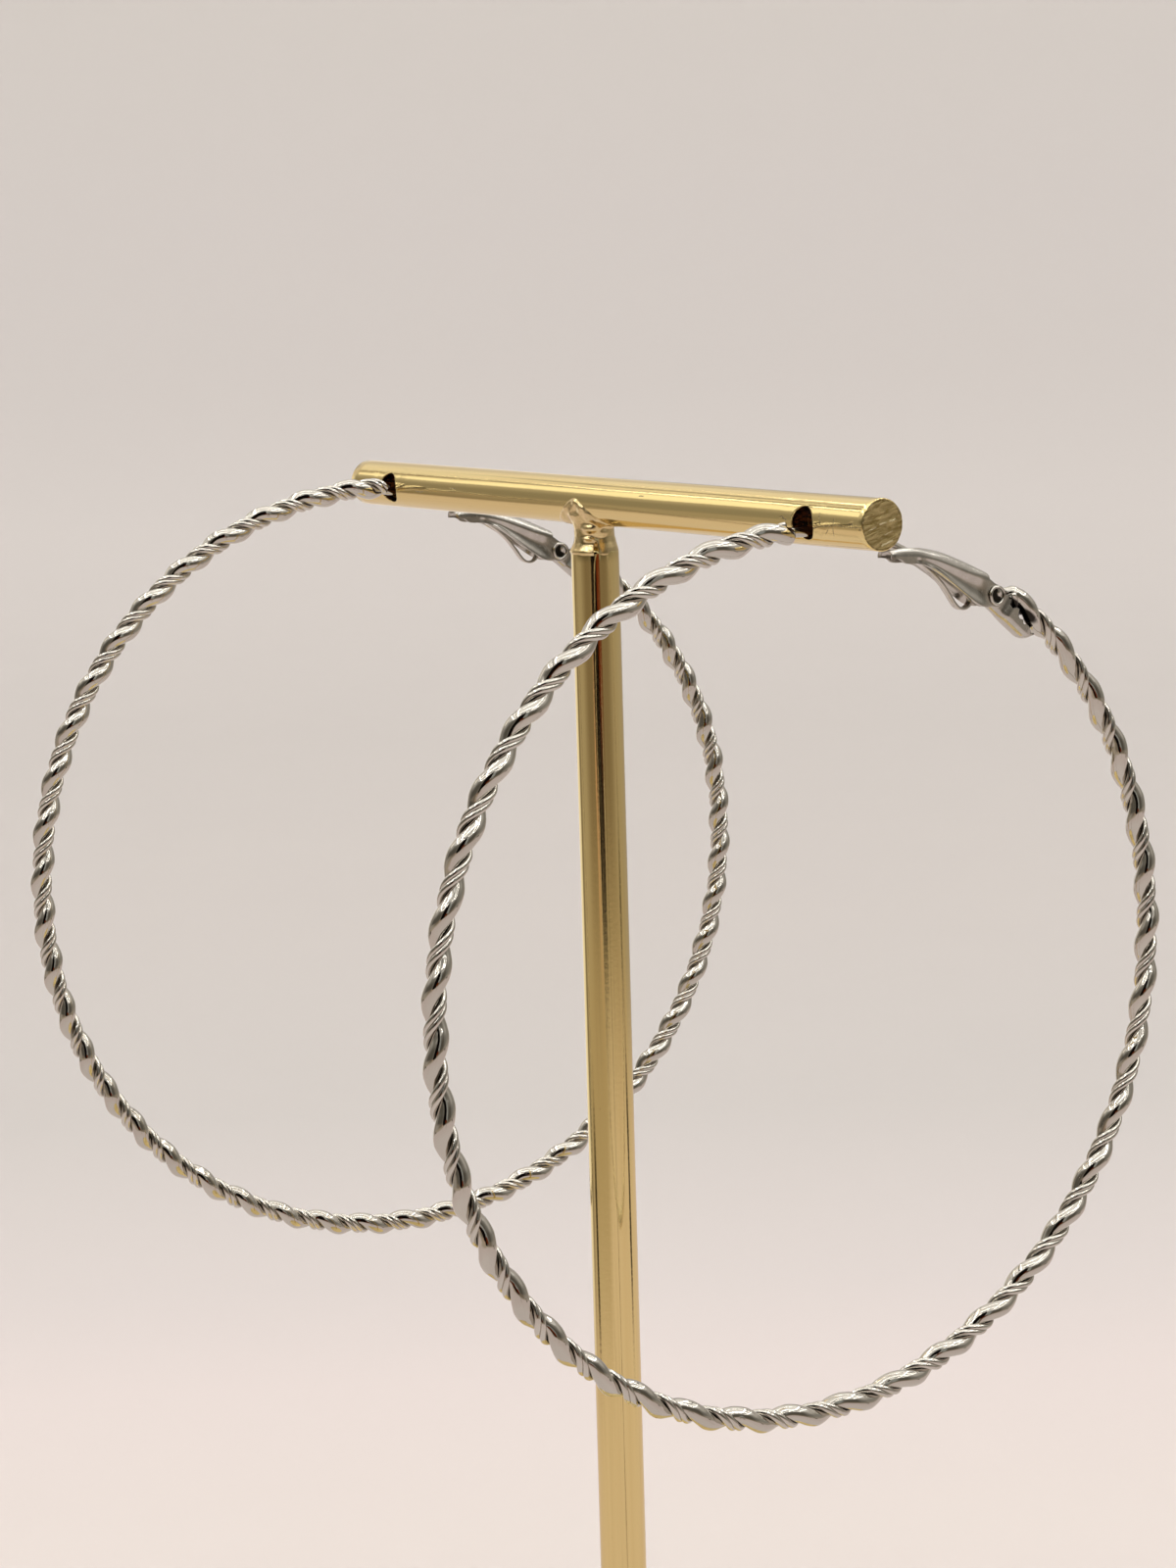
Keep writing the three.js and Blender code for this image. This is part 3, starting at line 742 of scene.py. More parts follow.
def build_lever(name):
    h = HOOPS[name]
    at = rivet_at(h)
    stations = np.r_[np.linspace(-10.4, -9.6, 10), np.linspace(-9.45, -8.9, 8),
                     np.linspace(-8.75, -1.0, 58), np.linspace(-0.9, 1.0, 30)]
    stations = np.unique(np.round(stations, 5))
    ear = 1.0
    web_cols = 15
    wall_rows = 12
    verts, index = [], {}

    def add(key, p):
        index[key] = len(verts)
        verts.append(p)

    top_last = -0.62
    for i, x in enumerate(stations):
        crest = float(curve(LEVER_CREST, x))
        fold = float(curve(LEVER_FOLD, x))
        low = float(curve(LEVER_BOTTOM, x))
        if x > -0.62:
            low = -math.sqrt(max(ear ** 2 - x ** 2, 0.0)) if x > -0.3 else low * 0 - math.sqrt(max(ear ** 2 - x ** 2, 0))
        if x > top_last:
            circle = math.sqrt(max(ear ** 2 - x ** 2, 0.0))
            fold = max(min(fold, circle + (fold - circle) * float(1 - smoothstep(x, -0.62, 0.55))), circle)
        half = 1.0 - 0.06 * float(1 - smoothstep(x, -11.3, -9.4)) ** 2
        round_tip = 1.0 if x > -10.0 else math.sqrt(max(0.0, 1 - ((-10.0 - x) / 0.62) ** 2))
        half *= 0.6 + 0.4 * round_tip
        bow = 0.17 * float(smoothstep(x, -7.6, -5.4)) * float(1 - smoothstep(x, -1.9, -0.9))
        flare = 0.10 * float(smoothstep(x, -7.3, -6.0)) * float(1 - smoothstep(x, -1.6, -0.8))
        radius = min(0.20, max(0.02, (fold - low) * 0.45))
        for side in (-1, 1):
            for j in range(wall_rows):
                s = j / (wall_rows - 1)
                z = low + (fold - radius - low) * s
                pull = bow * math.sin(math.pi * min(1.0, max(0.0, (s - 0.12) / 0.88))) ** 1.2
                lip = flare * (1 - float(smoothstep(s, 0.0, 0.26)))
                add((i, side, j), (side * (half - pull + lip - 0.02), x, z))
        if x <= top_last + 1e-6:
            # fold and arched web from side to side
            cols = np.linspace(-1, 1, web_cols + 6)
            cols = np.unique(np.r_[np.linspace(-1, -0.86, 5), np.linspace(-0.86, 0.86, web_cols), np.linspace(0.86, 1, 5),
                                   [-0.55, 0.55]])
            box = 1 - float(smoothstep(x, -8.2, -6.2))
            for c, q in enumerate(cols):
                m = abs(q)
                arch_round = 1 - m ** 2.2
                arch_box = 1 - m ** 5
                arch = box * arch_box + (1 - box) * arch_round
                base = fold + (crest - fold) * arch
                edge = smoothstep(m, 0.80, 1.0)
                turn = radius * (1 - math.sqrt(max(0.0, 1 - float(max(0, (m - 0.80) / 0.20)) ** 2)))
                add((i, "w", c), (float(q) * half * (1 - 0.02 * edge), x, base - turn))
            ncols = len(cols)
    faces = []
    last = len(stations) - 1
    for i in range(last):
        for side in (-1, 1):
            for j in range(wall_rows - 1):
                quad = (index[i, side, j], index[i + 1, side, j], index[i + 1, side, j + 1], index[i, side, j + 1])
                faces.append(quad if side < 0 else tuple(reversed(quad)))
        if (i + 1, "w", 0) in index:
            for c in range(ncols - 1):
                mid = 0.5 * (cols[c] + cols[c + 1])
                x = 0.5 * (stations[i] + stations[i + 1])
                slot = 0.55 if x < -7.55 else 0.55 * math.sqrt(max(0.0, 1 - ((x + 7.55) / 0.55) ** 2))
                if abs(mid) < slot and x < -7.0:
                    continue
                faces.append((index[i, "w", c], index[i + 1, "w", c], index[i + 1, "w", c + 1], index[i, "w", c + 1]))
            # join web to walls
            faces.append((index[i, -1, wall_rows - 1], index[i + 1, -1, wall_rows - 1], index[i + 1, "w", 0], index[i, "w", 0]))
            faces.append((index[i, "w", ncols - 1], index[i + 1, "w", ncols - 1], index[i + 1, 1, wall_rows - 1], index[i, 1, wall_rows - 1]))
    local = np.array(verts)
    # small punched dimple in the near and far side walls
    for sgn in (-1, 1):
        d = np.hypot(local[:, 1] + 7.79, local[:, 2] - 3.36)
        push = 0.09 * np.exp(-(d / 0.16) ** 2) * (np.sign(local[:, 0]) == sgn) * (np.abs(local[:, 0]) > 0.7)
        local[:, 0] -= sgn * push
    obj = make(f"hoop_{name}_lever_sheet", place(h, local + at), faces, [SHEET_MAT])
    bm = bmesh.new()
    bm.from_mesh(obj.data)
    bmesh.ops.remove_doubles(bm, verts=bm.verts, dist=0.004 * MM)
    bmesh.ops.delete(bm, geom=[v for v in bm.verts if not v.link_faces], context="VERTS")
    bmesh.ops.recalc_face_normals(bm, faces=bm.faces)
    # outwards: the crest's faces look away from the hoop's middle
    centre = Vector(place(h, at + np.array([0, -5.0, 0.5])) * MM)
    top = max(bm.faces, key=lambda fc: (fc.calc_center_median() - centre).z)
    if top.normal.z < 0:
        bmesh.ops.reverse_faces(bm, faces=bm.faces)
    bm.to_mesh(obj.data)
    bm.free()
    solid = obj.modifiers.new("thickness", "SOLIDIFY")
    solid.thickness = 0.24 * MM
    solid.offset = -1.0
    solid.use_even_offset = False
    bevel = obj.modifiers.new("edge", "BEVEL")
    bevel.width = 0.045 * MM
    bevel.segments = 2
    bevel.limit_method = "ANGLE"
    bevel.angle_limit = math.radians(50)
    apply_modifiers(obj)
    obj.data.polygons.foreach_set("use_smooth", np.full(len(obj.data.polygons), True))
    obj.data.set_sharp_from_angle(angle=math.radians(48))
    body = f"{name}_lever"
    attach(obj, body)
    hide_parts(f"hoop_{name}_lever")
    return obj


def strip_along(points, half_width, thick, h, at, bevel=0.05):
    """Flat strip: rectangular section with rounded corners, across the hoop's axis."""
    p = catmull(points, 110)
    t = unit(np.gradient(p, axis=0))
    out = np.stack([-t[:, 1], t[:, 0]], -1)
    section = []
    hw, ht = half_width, thick / 2
    for cx, cz, a0 in ((hw - bevel, ht - bevel, 0), (-(hw - bevel), ht - bevel, 90),
                       (-(hw - bevel), -(ht - bevel), 180), (hw - bevel, -(ht - bevel), 270)):
        for k in range(4):
            a = math.radians(a0 + 30 * k)
            section.append((cx + bevel * math.cos(a), cz + bevel * math.sin(a)))
    section = np.array(section)
    n = len(section)
    taper = np.minimum(1, np.minimum(np.arange(len(p)), np.arange(len(p))[::-1]) / 2.0 + 0.7)
    verts = []
    for i in range(len(p)):
        for sx, sz in section:
            q = p[i] + out[i] * sz * taper[i]
            verts.append((sx * taper[i], q[0], q[1]))
    faces = []
    for i in range(len(p) - 1):
        for j in range(n):
            k = (j + 1) % n
            faces.append((i * n + j, i * n + k, (i + 1) * n + k, (i + 1) * n + j))
    faces.append(tuple(range(n)))
    faces.append(tuple((len(p) - 1) * n + j for j in reversed(range(n))))
    return place(h, np.array(verts) + at), faces


def build_spring(name):
    h = HOOPS[name]
    at = rivet_at(h)
    path = [(-7.35, 3.22), (-6.75, 2.86), (-5.95, 2.27), (-4.95, 1.36), (-4.2, 0.42), (-3.6, -0.42),
            (-3.15, -0.80), (-2.62, -0.88), (-2.14, -0.66), (-1.93, -0.22), (-2.12, 0.22),
            (-2.75, 0.72), (-3.6, 1.32), (-4.6, 2.0), (-5.6, 2.62), (-6.3, 2.95)]
    v, f = strip_along(path, 0.315, 0.22, h, at)
    obj = make(f"hoop_{name}_spring_strip", v, f, [SPRING_MAT])
    fix_normals(obj)
    obj.data.set_sharp_from_angle(angle=math.radians(60))
    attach(obj, f"{name}_lever")
    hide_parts(f"hoop_{name}_spring")
    return obj


def build_rivet(name):
    h = HOOPS[name]
    at = rivet_at(h)
    half = 1.06
    head = [(0.0, half - 0.02), (0.18, half - 0.02), (0.40, half - 0.02), (0.53, half - 0.01),
            (0.575, half + 0.10), (0.595, half + 0.155), (0.635, half + 0.185), (0.68, half + 0.195),
            (0.73, half + 0.18), (0.775, half + 0.13), (0.80, half + 0.07), (0.80, half + 0.02),
            (0.77, half), (0.37, half)]
    profile = [(r, x) for r, x in head] + [(r, -x) for r, x in reversed(head)]
    sides = 40
    verts, faces, deep = [], [], []
    for k, (r, x) in enumerate(profile):
        for j in range(sides):
            a = 2 * math.pi * j / sides
            # painted shade on the recess floor, left off a wedge where light falls in
            bright = max(0.0, math.sin(a + 1.1)) ** 2 * (0.15 < r < 0.5)
            deep.append((1.3 - 2.2 * bright) if (r < 0.585 and abs(x) > half - 0.03) else 0.0)
            lump = 1 + 0.025 * math.sin(3 * a + 0.7) + 0.015 * math.sin(7 * a)
            # peening left the recess floor tipped and its rim uneven
            tip = 0.0
            if r < 0.45:
                tip = 0.42 * max(0.0, math.sin(a + 1.1)) ** 2 * r
            rim = 0.014 * math.sin(4 * a + 1.0) if 0.56 < r < 0.76 else 0.0
            s = 1 if x > 0 else -1
            verts.append((x + s * (tip + rim), r * lump * math.cos(a), r * lump * math.sin(a)))
    rows = len(profile)
    for k in range(rows - 1):
        for j in range(sides):
            m = (j + 1) % sides
            faces.append((k * sides + j, k * sides + m, (k + 1) * sides + m, (k + 1) * sides + j))
    obj = make(f"hoop_{name}_rivet_pin", place(h, np.array(verts) + at), faces, [RIVET_MAT],
               attributes={"crevice_shade": np.clip(deep, 0, 1)})
    bm = bmesh.new()
    bm.from_mesh(obj.data)
    bmesh.ops.remove_doubles(bm, verts=bm.verts, dist=0.0005 * MM)
    bmesh.ops.recalc_face_normals(bm, faces=bm.faces)
    bm.to_mesh(obj.data)
    bm.free()
    obj.data.set_sharp_from_angle(angle=math.radians(60))
    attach(obj, "stand_and_hoops")
    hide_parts(f"hoop_{name}_rivet")
    return obj


def build_bracket(name):
    """Folded hinge bracket: a cup round the rope's end, with a torn, ragged upper edge."""
    h = HOOPS[name]
    at = rivet_at(h)
    es = np.array([0.768, -0.641])
    eh = np.array([0.641, 0.768])
    s_values = np.r_[np.linspace(-0.86, 0.0, 10)[:-1], np.linspace(0.0, 4.5, 76), np.linspace(4.55, 5.42, 14)]
    top = [(-0.9, 0.0), (-0.6, 0.55), (0.0, 0.75), (0.9, 0.62), (1.35, 0.98), (1.50, 1.25), (1.66, 1.15),
           (1.82, 0.35), (2.15, 0.22), (2.45, 0.52), (2.75, 0.60), (2.95, 0.12), (3.3, 0.02), (3.62, 0.16), (3.85, -0.10),
           (4.3, 0.10), (4.7, 0.0), (5.2, -0.12), (5.42, -0.25)]
    rows = 9
    arc = 11
    verts, index = [], {}
    for i, s in enumerate(s_values):
        if s < 0:
            depth = math.sqrt(max(0.0, 0.93 ** 2 - s ** 2))
        elif s > 4.5:
            depth = 0.93 * math.sqrt(max(0.0, 1 - ((s - 4.5) / 0.93) ** 2))
        else:
            depth = 0.93
        edge = float(np.interp(s, [t[0] for t in top], [t[1] for t in top]))
        edge = max(edge, -depth + 0.02)
        width = 0.60 + 0.26 * float(smoothstep(s, 1.35, 2.3)) - 0.20 * float(smoothstep(s, 4.2, 5.4))
        fold = min(0.42, depth * 0.8)
        line = []
        for side in (-1, 1):
            side_line = []
            rim = edge if side > 0 else edge + 0.95 * float(smoothstep(s, 1.3, 1.9) * (1 - smoothstep(s, 4.0, 4.9)))
            for j in range(rows):
                q = j / (rows - 1)
                z = rim + (-depth + fold - rim) * q if -depth + fold < rim else rim
                side_line.append((side * width, z))
            line.append(side_line)
        bottom = []
        for j in range(1, arc):
            a = math.pi * j / arc
            bottom.append((-width * math.cos(a), -depth + fold - fold * math.sin(a)))
        loop = line[0] + bottom + list(reversed(line[1]))
        for j, (n, z) in enumerate(loop):
            p = es * s + eh * z
            index[i, j] = len(verts)
            verts.append((n, p[0], p[1]))
        count = len(loop)
    faces = []
    for i in range(len(s_values) - 1):
        for j in range(count - 1):
            faces.append((index[i, j], index[i + 1, j], index[i + 1, j + 1], index[i, j + 1]))
    local = np.array(verts)
    obj = make(f"hoop_{name}_hinge_bracket", place(h, local + at), faces, [SHEET_MAT, SHADED_INSIDE_MAT])
    bm = bmesh.new()
    bm.from_mesh(obj.data)
    bmesh.ops.remove_doubles(bm, verts=bm.verts, dist=0.003 * MM)
    bmesh.ops.recalc_face_normals(bm, faces=bm.faces)
    centre = Vector(place(h, at + np.array([0, es[0] * 2.5 + eh[0] * 0.3, es[1] * 2.5 + eh[1] * 0.3])) * MM)
    low = max(bm.faces, key=lambda fc: (fc.calc_center_median() - centre).x)
    if low.normal.x < 0:
        bmesh.ops.reverse_faces(bm, faces=bm.faces)
    bm.to_mesh(obj.data)
    bm.free()
    solid = obj.modifiers.new("thickness", "SOLIDIFY")
    solid.thickness = 0.16 * MM
    solid.offset = -1.0
    solid.use_even_offset = False
    # the inner faces take the near-black painted shade
    solid.material_offset = 1
    bevel = obj.modifiers.new("edge", "BEVEL")
    bevel.width = 0.03 * MM
    bevel.segments = 2
    bevel.limit_method = "ANGLE"
    bevel.angle_limit = math.radians(50)
    apply_modifiers(obj)
    obj.data.polygons.foreach_set("use_smooth", np.full(len(obj.data.polygons), True))
    obj.data.set_sharp_from_angle(angle=math.radians(48))
    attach(obj, "stand_and_hoops")
    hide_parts(f"hoop_{name}_ring")
    return obj


# ------------------------------------------------------------------ stand
flat_forward = unit(np.array([forward[0], forward[1], 0.0]))
flat_right = unit(np.array([right[0], right[1], 0.0]))


def build_bar():
    """Bar with its two drilled holes, each with a worn rim, and sawn ends."""
    around = 96
    theta = 2 * math.pi * np.arange(around) / around          # from -Y towards +Z
    patch_j = 16                                              # patch reaches 16 steps each way
    half_x = 2.0
    cols = 16
    xs, hole_start = [], {}
    edges = [BAR_LEFT]
    for hx in HOLES:
        edges += [hx - half_x, hx + half_x]
    edges.append(BAR_RIGHT)
    end_round = 0.10
    xs = [BAR_LEFT + 0.02, BAR_LEFT + 0.05, BAR_LEFT + end_round]
    pos = BAR_LEFT + end_round
    for i, hx in enumerate(HOLES):
        a, b = hx - half_x, hx + half_x
        n = max(2, int((a - pos) / 0.9))
        xs += list(np.linspace(pos, a, n + 1)[1:])
        hole_start[hx] = len(xs) - 1
        xs += list(np.linspace(a, b, cols + 1)[1:])
        pos = b
    n = int((BAR_RIGHT - end_round - pos) / 0.45)
    xs += list(np.linspace(pos, BAR_RIGHT - end_round, n + 1)[1:])
    xs += [BAR_RIGHT - 0.05, BAR_RIGHT - 0.02]
    xs = np.array(xs)

    def lip(x, t):
        """Radius near the sawn ends: a broken, slightly burred edge."""
        d = min(x - BAR_LEFT, BAR_RIGHT - x)
        burr = 0.018 * math.sin(5 * t + 1) + 0.014 * math.sin(11 * t + 2) + 0.010 * math.sin(23 * t)
        if d < 0.03:
            return ROD - 0.075 + burr
        if d < 0.07:
            return ROD - 0.025 + burr * 0.7
        return ROD + 0.006 * math.sin(3 * t + x * 0.2) * float(smoothstep(d, 0.0, 1.0))

    verts, faces, fmat, index = [], [], [], {}

    def add(p):
        verts.append(p)
        return len(verts) - 1

    inside = set()
    for hx in HOLES:
        c0 = hole_start[hx]
        for centre_j in (0, around // 2):
            for i in range(c0 + 1, c0 + cols):
                for dj in range(-patch_j + 1, patch_j):
                    inside.add((i, (centre_j + dj) % around))
    for i, x in enumerate(xs):
        for j, t in enumerate(theta):
            if (i, j) in inside:
                continue
            r = lip(x, t)
            index[i, j] = add((x, -r * math.cos(t), BAR_Z + r * math.sin(t)))
    for i in range(len(xs) - 1):
        for j in range(around):
            k = (j + 1) % around
            quad = [(i, j), (i, k), (i + 1, k), (i + 1, j)]
            if all(q in index for q in quad):
                # skip the patch's own cells
                mid_i = i
                in_patch = False
                for hx in HOLES:
                    c0 = hole_start[hx]
                    if c0 <= i < c0 + cols:
                        for centre_j in (0, around // 2):
                            d = (j - centre_j + around) % around
                            if d < patch_j or d >= around - patch_j:
                                in_patch = True
                if in_patch:
                    continue
                faces.append(tuple(index[q] for q in quad))
                fmat.append(0)
    outline_rings = {}
    for hx in HOLES:
        c0 = hole_start[hx]
        loops = {}
        for centre_j, sign in ((0, -1), (around // 2, 1)):
            # boundary of the patch, as (column, dj) with dj counted upwards
            border = [(c0 + k, -patch_j) for k in range(cols)]
            border += [(c0 + cols, dj) for dj in range(-patch_j, patch_j)]
            border += [(c0 + cols - k, patch_j) for k in range(cols)]
            border += [(c0, patch_j - k) for k in range(2 * patch_j)]
            ids = []
            for i, dj in border:
                j = (centre_j + dj) % around if sign < 0 else (centre_j - dj) % around
                ids.append(index[i, j])
            p = np.array([verts[q] for q in ids])
            flat_x = p[:, 0] - hx
            arc = np.array([2 * math.pi * dj / around for _, dj in border]) * ROD
            angle = np.arctan2(arc + 0.0, flat_x)

            def on_bar(x, z, sink):
                z = np.clip(z, -ROD + 1e-6, ROD - 1e-6)
                y = np.sqrt(np.maximum(ROD ** 2 - z ** 2, 0)) - sink
                return np.stack([x, sign * y, BAR_Z + z], -1)

            nick = 0.012 * np.sin(7 * angle + hx) + 0.008 * np.sin(17 * angle)
            rim_x = (HOLE_RADIUS + 0.09 + nick) * np.cos(angle)
            rim_z = (HOLE_RADIUS + 0.09 + nick) * np.sin(angle) - HOLE_DROP
            rim_arc = ROD * np.arcsin(np.clip(rim_z / ROD, -1, 1))
            rings = [ids]
            steps = [0.12, 0.27, 0.45, 0.64, 0.82, 0.93, 1.0]
            for s in steps:
                fx = flat_x * (1 - s) + rim_x * s
                fa = arc * (1 - s) + rim_arc * s
                t = fa / ROD
                pts = np.stack([hx + fx, sign * ROD * np.cos(t), BAR_Z + ROD * np.sin(t)], -1)
                rings.append([add(tuple(q)) for q in pts])
            for grow, sink in ((0.055, 0.012), (0.02, 0.045), (0.0, 0.10)):
                pts = on_bar(hx + (HOLE_RADIUS + grow) * np.cos(angle),
                             (HOLE_RADIUS + grow) * np.sin(angle) - HOLE_DROP, sink)
                rings.append([add(tuple(q)) for q in pts])
            for a, b in zip(rings[:-1], rings[1:]):
                m = len(a)
                for k in range(m):
                    q = (k + 1) % m
                    quad = (a[k], b[k], b[q], a[q])
                    faces.append(quad if sign < 0 else tuple(reversed(quad)))
                    fmat.append(0)
            loops[sign] = (rings[-1], angle)
        a, b = loops[-1][0], loops[1][0]
        prev = a
        walls = 10
        pa, pb = np.array([verts[q] for q in a]), np.array([verts[q] for q in b])
        for w in range(1, walls + 1):
            if w == walls:
                cur = b
            else:
                s = w / walls
                pts = pa * (1 - s) + pb * s
                cur = [add(tuple(q)) for q in pts]
            m = len(a)
            for k in range(m):
                q = (k + 1) % m
                faces.append((prev[k], cur[k], cur[q], prev[q]))
                fmat.append(1)
            prev = cur
    # sawn ends: rings towards the middle with tool marks as real relief
    turn = math.radians(14.0)
    for x_end, i_end, sign in ((BAR_LEFT, 0, -1), (BAR_RIGHT, len(xs) - 1, 1)):
        prev = [index[i_end, j] for j in range(around)]
        for r in (1.90, 1.83, 1.70, 1.55, 1.38, 1.2, 1.0, 0.8, 0.6, 0.4, 0.2):
            cur = []
            for t in theta:
                y, z = -r * math.cos(t), r * math.sin(t)
                q = -math.sin(turn) * y + math.cos(turn) * z
                p = math.cos(turn) * y + math.sin(turn) * z
                marks = (0.014 * math.sin(q * 9.0 + 1.1 * math.sin(p * 1.7)) + 0.010 * math.sin(q * 21 + p * 2.0)
                         + 0.008 * math.sin(q * 37 - p * 3.1 + 1))
                cur.append(add((x_end - sign * (0.0 if r < 1.89 else 0.01) + sign * marks * 0.8 - sign * 0.02, y, BAR_Z + z)))
            for j in range(around):
                k = (j + 1) % around
                quad = (prev[j], prev[k], cur[k], cur[j])
                faces.append(quad if sign > 0 else tuple(reversed(quad)))
                fmat.append(2)
            prev = cur
        tip = add((x_end - sign * 0.02, 0.0, BAR_Z))
        for j in range(around):
            k = (j + 1) % around
            tri = (prev[j], prev[k], tip)
            faces.append(tri if sign > 0 else tuple(reversed(tri)))
            fmat.append(2)
    obj = make("stand_bar", verts, faces, [BAR_MAT, BORE_MAT, CUT_MAT], fmat)
    fix_normals(obj)
    obj.data.set_sharp_from_angle(angle=math.radians(55))
    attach(obj, "stand_and_hoops")
    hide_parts("stand_frame")
    return obj


def build_post():
    around = 96
    top = BAR_Z - 4.10
    rows = [(1.0, top + 0.6), (1.62, top + 0.30), (1.80, top + 0.16), (1.93, top + 0.07), (1.985, top - 0.04), (2.0, top - 0.18)]
    rows += [(2.0, z) for z in np.linspace(top - 1.0, 4.0, 72)]
    rows += [(2.0, 2.75), (1.96, 2.55), (1.85, 2.4), (1.7, 2.32), (1.0, 2.3)]
    verts, faces = [], []
    for r, z in rows:
        for j in range(around):
            t = 2 * math.pi * j / around
            # the rod is very slightly out of true, as drawn rod is
            wob = 1 + (0.0022 * math.sin(2 * t + z * 0.05) if r > 1.99 else 0.0)
            verts.append((r * wob * math.cos(t), r * wob * math.sin(t), z))
    for i in range(len(rows) - 1):
        for j in range(around):
            k = (j + 1) % around
            faces.append((i * around + j, (i + 1) * around + j, (i + 1) * around + k, i * around + k))
    faces.append(tuple(range(around)))
    faces.append(tuple((len(rows) - 1) * around + j for j in reversed(range(around))))
    obj = make("stand_post", verts, faces, [POST_MAT])
    fix_normals(obj)
    obj.data.set_sharp_from_angle(angle=math.radians(50))
    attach(obj, "stand_and_hoops")
    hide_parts("stand_frame")
    return obj


def smin(a, b, k):
    t = np.clip(0.5 + 0.5 * (b - a) / k, 0, 1)
    return b * (1 - t) + a * t - k * t * (1 - t)


def neck_field(p):
    """Signed distance (roughly, mm) of the solder neck; z from the bar's axis."""
    x, y, z = p[..., 0], p[..., 1], p[..., 2]
    side = flat_right[0] * x + flat_right[1] * y
    front = -(flat_forward[0] * x + flat_forward[1] * y)
    # run of solder up the bar's near side, thick in the middle
    top = 0.52 - 0.72 * (np.sqrt((x + 0.02) ** 2 + 0.30) - 0.55)
    run = smoothstep(top - z, 0.0, 0.45) * smoothstep(-y, 0.2, 0.9)
    ripple = 0.030 * np.sin(3.1 * x + 2.2 * z) + 0.022 * np.sin(5.3 * x - 4.1 * z + 1.0)
    bar = np.hypot(y, z) - (ROD - 0.06 + (0.20 + ripple) * run)
    radius = np.interp(z, [-4.72, -4.5, -4.34, -4.2, -4.05, -3.85, -3.4, -2.9, -2.3, -1.6, -1.1, -0.8, -0.5, 0.0],
                       [1.93, 1.96, 1.99, 2.0, 1.98, 1.94, 1.78, 1.68, 1.68, 1.84, 1.98, 1.75, 1.2, 0.2])
    ring = np.exp(-((z + 4.14) / 0.17) ** 2) * (1 - smoothstep(side, 0.05, 0.45))
    dip = np.exp(-((z + 3.55) / 0.28) ** 2) * (1 - smoothstep(side, -0.1, 0.4)) * smoothstep(side, -1.3, -0.4)
    neck = np.hypot(x, y) - radius - 0.11 * ring + 0.09 * dip * (front > 0)
    neck = np.maximum(neck, -(z + 4.62))
    d = smin(bar, neck, 0.40)

    def blob(c, r, k):
        nonlocal d
        q = (p - np.array(c)) / np.array(r)
        l = np.linalg.norm(q, axis=-1)
        g = np.linalg.norm(q / np.array(r), axis=-1)
        e = l * (l - 1) / np.maximum(g, 1e-6)
        d = smin(d, e, k)

    blob((1.05, -0.95, -2.15), (0.75, 0.75, 0.42), 0.35)
    blob((1.35, -0.35, -2.55), (0.45, 0.55, 0.36), 0.25)
    blob((0.95, -1.20, -3.05), (0.42, 0.42, 0.18), 0.20)
    blob((0.1, 1.55, -1.5), (1.3, 0.5, 0.6), 0.35)
    # a slot where the solder didn't fill
    local_side = (side - 0.10) / 0.20
    local_front = (front - 1.85) / 0.42
    local_z = (z + 3.72) / 0.52
    q = np.sqrt(local_side ** 2 + local_front ** 2 + local_z ** 2) - 1
    d = np.maximum(d, -q * 0.22)
    lumps = (0.022 * np.sin(2.9 * x + 1.3) * np.sin(3.3 * y + 0.4) * np.sin(2.6 * z + 0.9)
             + 0.010 * np.sin(6.1 * x - 1.0 + y) * np.sin(5.3 * z + 2 * y))
    return d + lumps


def build_neck():
    rows, cols = 150, 240
    centre = np.array([0.0, -0.15, -2.2])
    phi = np.linspace(0, 2 * math.pi, cols, endpoint=False)
    lat = np.linspace(-math.pi / 2, math.pi / 2, rows + 2)[1:-1]
    dirs = np.stack([np.cos(lat)[:, None] * np.cos(phi)[None], np.cos(lat)[:, None] * np.sin(phi)[None],
                     np.broadcast_to(np.sin(lat)[:, None], (rows, cols))], -1)
    reach = np.full((rows, cols), 4.2)
    # first crossing from inside to outside, found by marching and halving
    t_prev = np.full((rows, cols), 0.3)
    done = np.zeros((rows, cols), bool)
    for t in np.arange(0.4, 4.25, 0.06):
        value = neck_field(centre + dirs * t)
        hit = (value > 0) & ~done
        lo, hi = t_prev.copy(), np.full((rows, cols), t)
        if hit.any():
            for _ in range(12):
                mid = (lo + hi) / 2
                inside = neck_field(centre + dirs * mid[..., None]) <= 0
                lo = np.where(inside, mid, lo)
                hi = np.where(inside, hi, mid)
            reach = np.where(hit, (lo + hi) / 2, reach)
            done |= hit
        t_prev = np.full((rows, cols), t)
    pts = centre + dirs * reach[..., None]
    # keep the part that is buried in the bar well below its surface
    ring = np.hypot(pts[..., 1], pts[..., 2])
    buried = (pts[..., 2] > 0.7) & (ring > 1.75)
    pts[..., 1:] = np.where(buried[..., None], pts[..., 1:] * (1.75 / np.maximum(ring, 1e-6))[..., None], pts[..., 1:])
    verts = list(map(tuple, (pts + np.array([0, 0, BAR_Z])).reshape(-1, 3)))
    faces = []
    for i in range(rows - 1):
        for j in range(cols):
            k = (j + 1) % cols
            faces.append((i * cols + j, i * cols + k, (i + 1) * cols + k, (i + 1) * cols + j))
    faces.append(tuple(reversed(range(cols))))
    faces.append(tuple((rows - 1) * cols + j for j in range(cols)))
    obj = make("stand_solder_neck", verts, faces, [SOLDER_MAT])
    fix_normals(obj)
    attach(obj, "stand_and_hoops")
    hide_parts("stand_frame")
    return obj


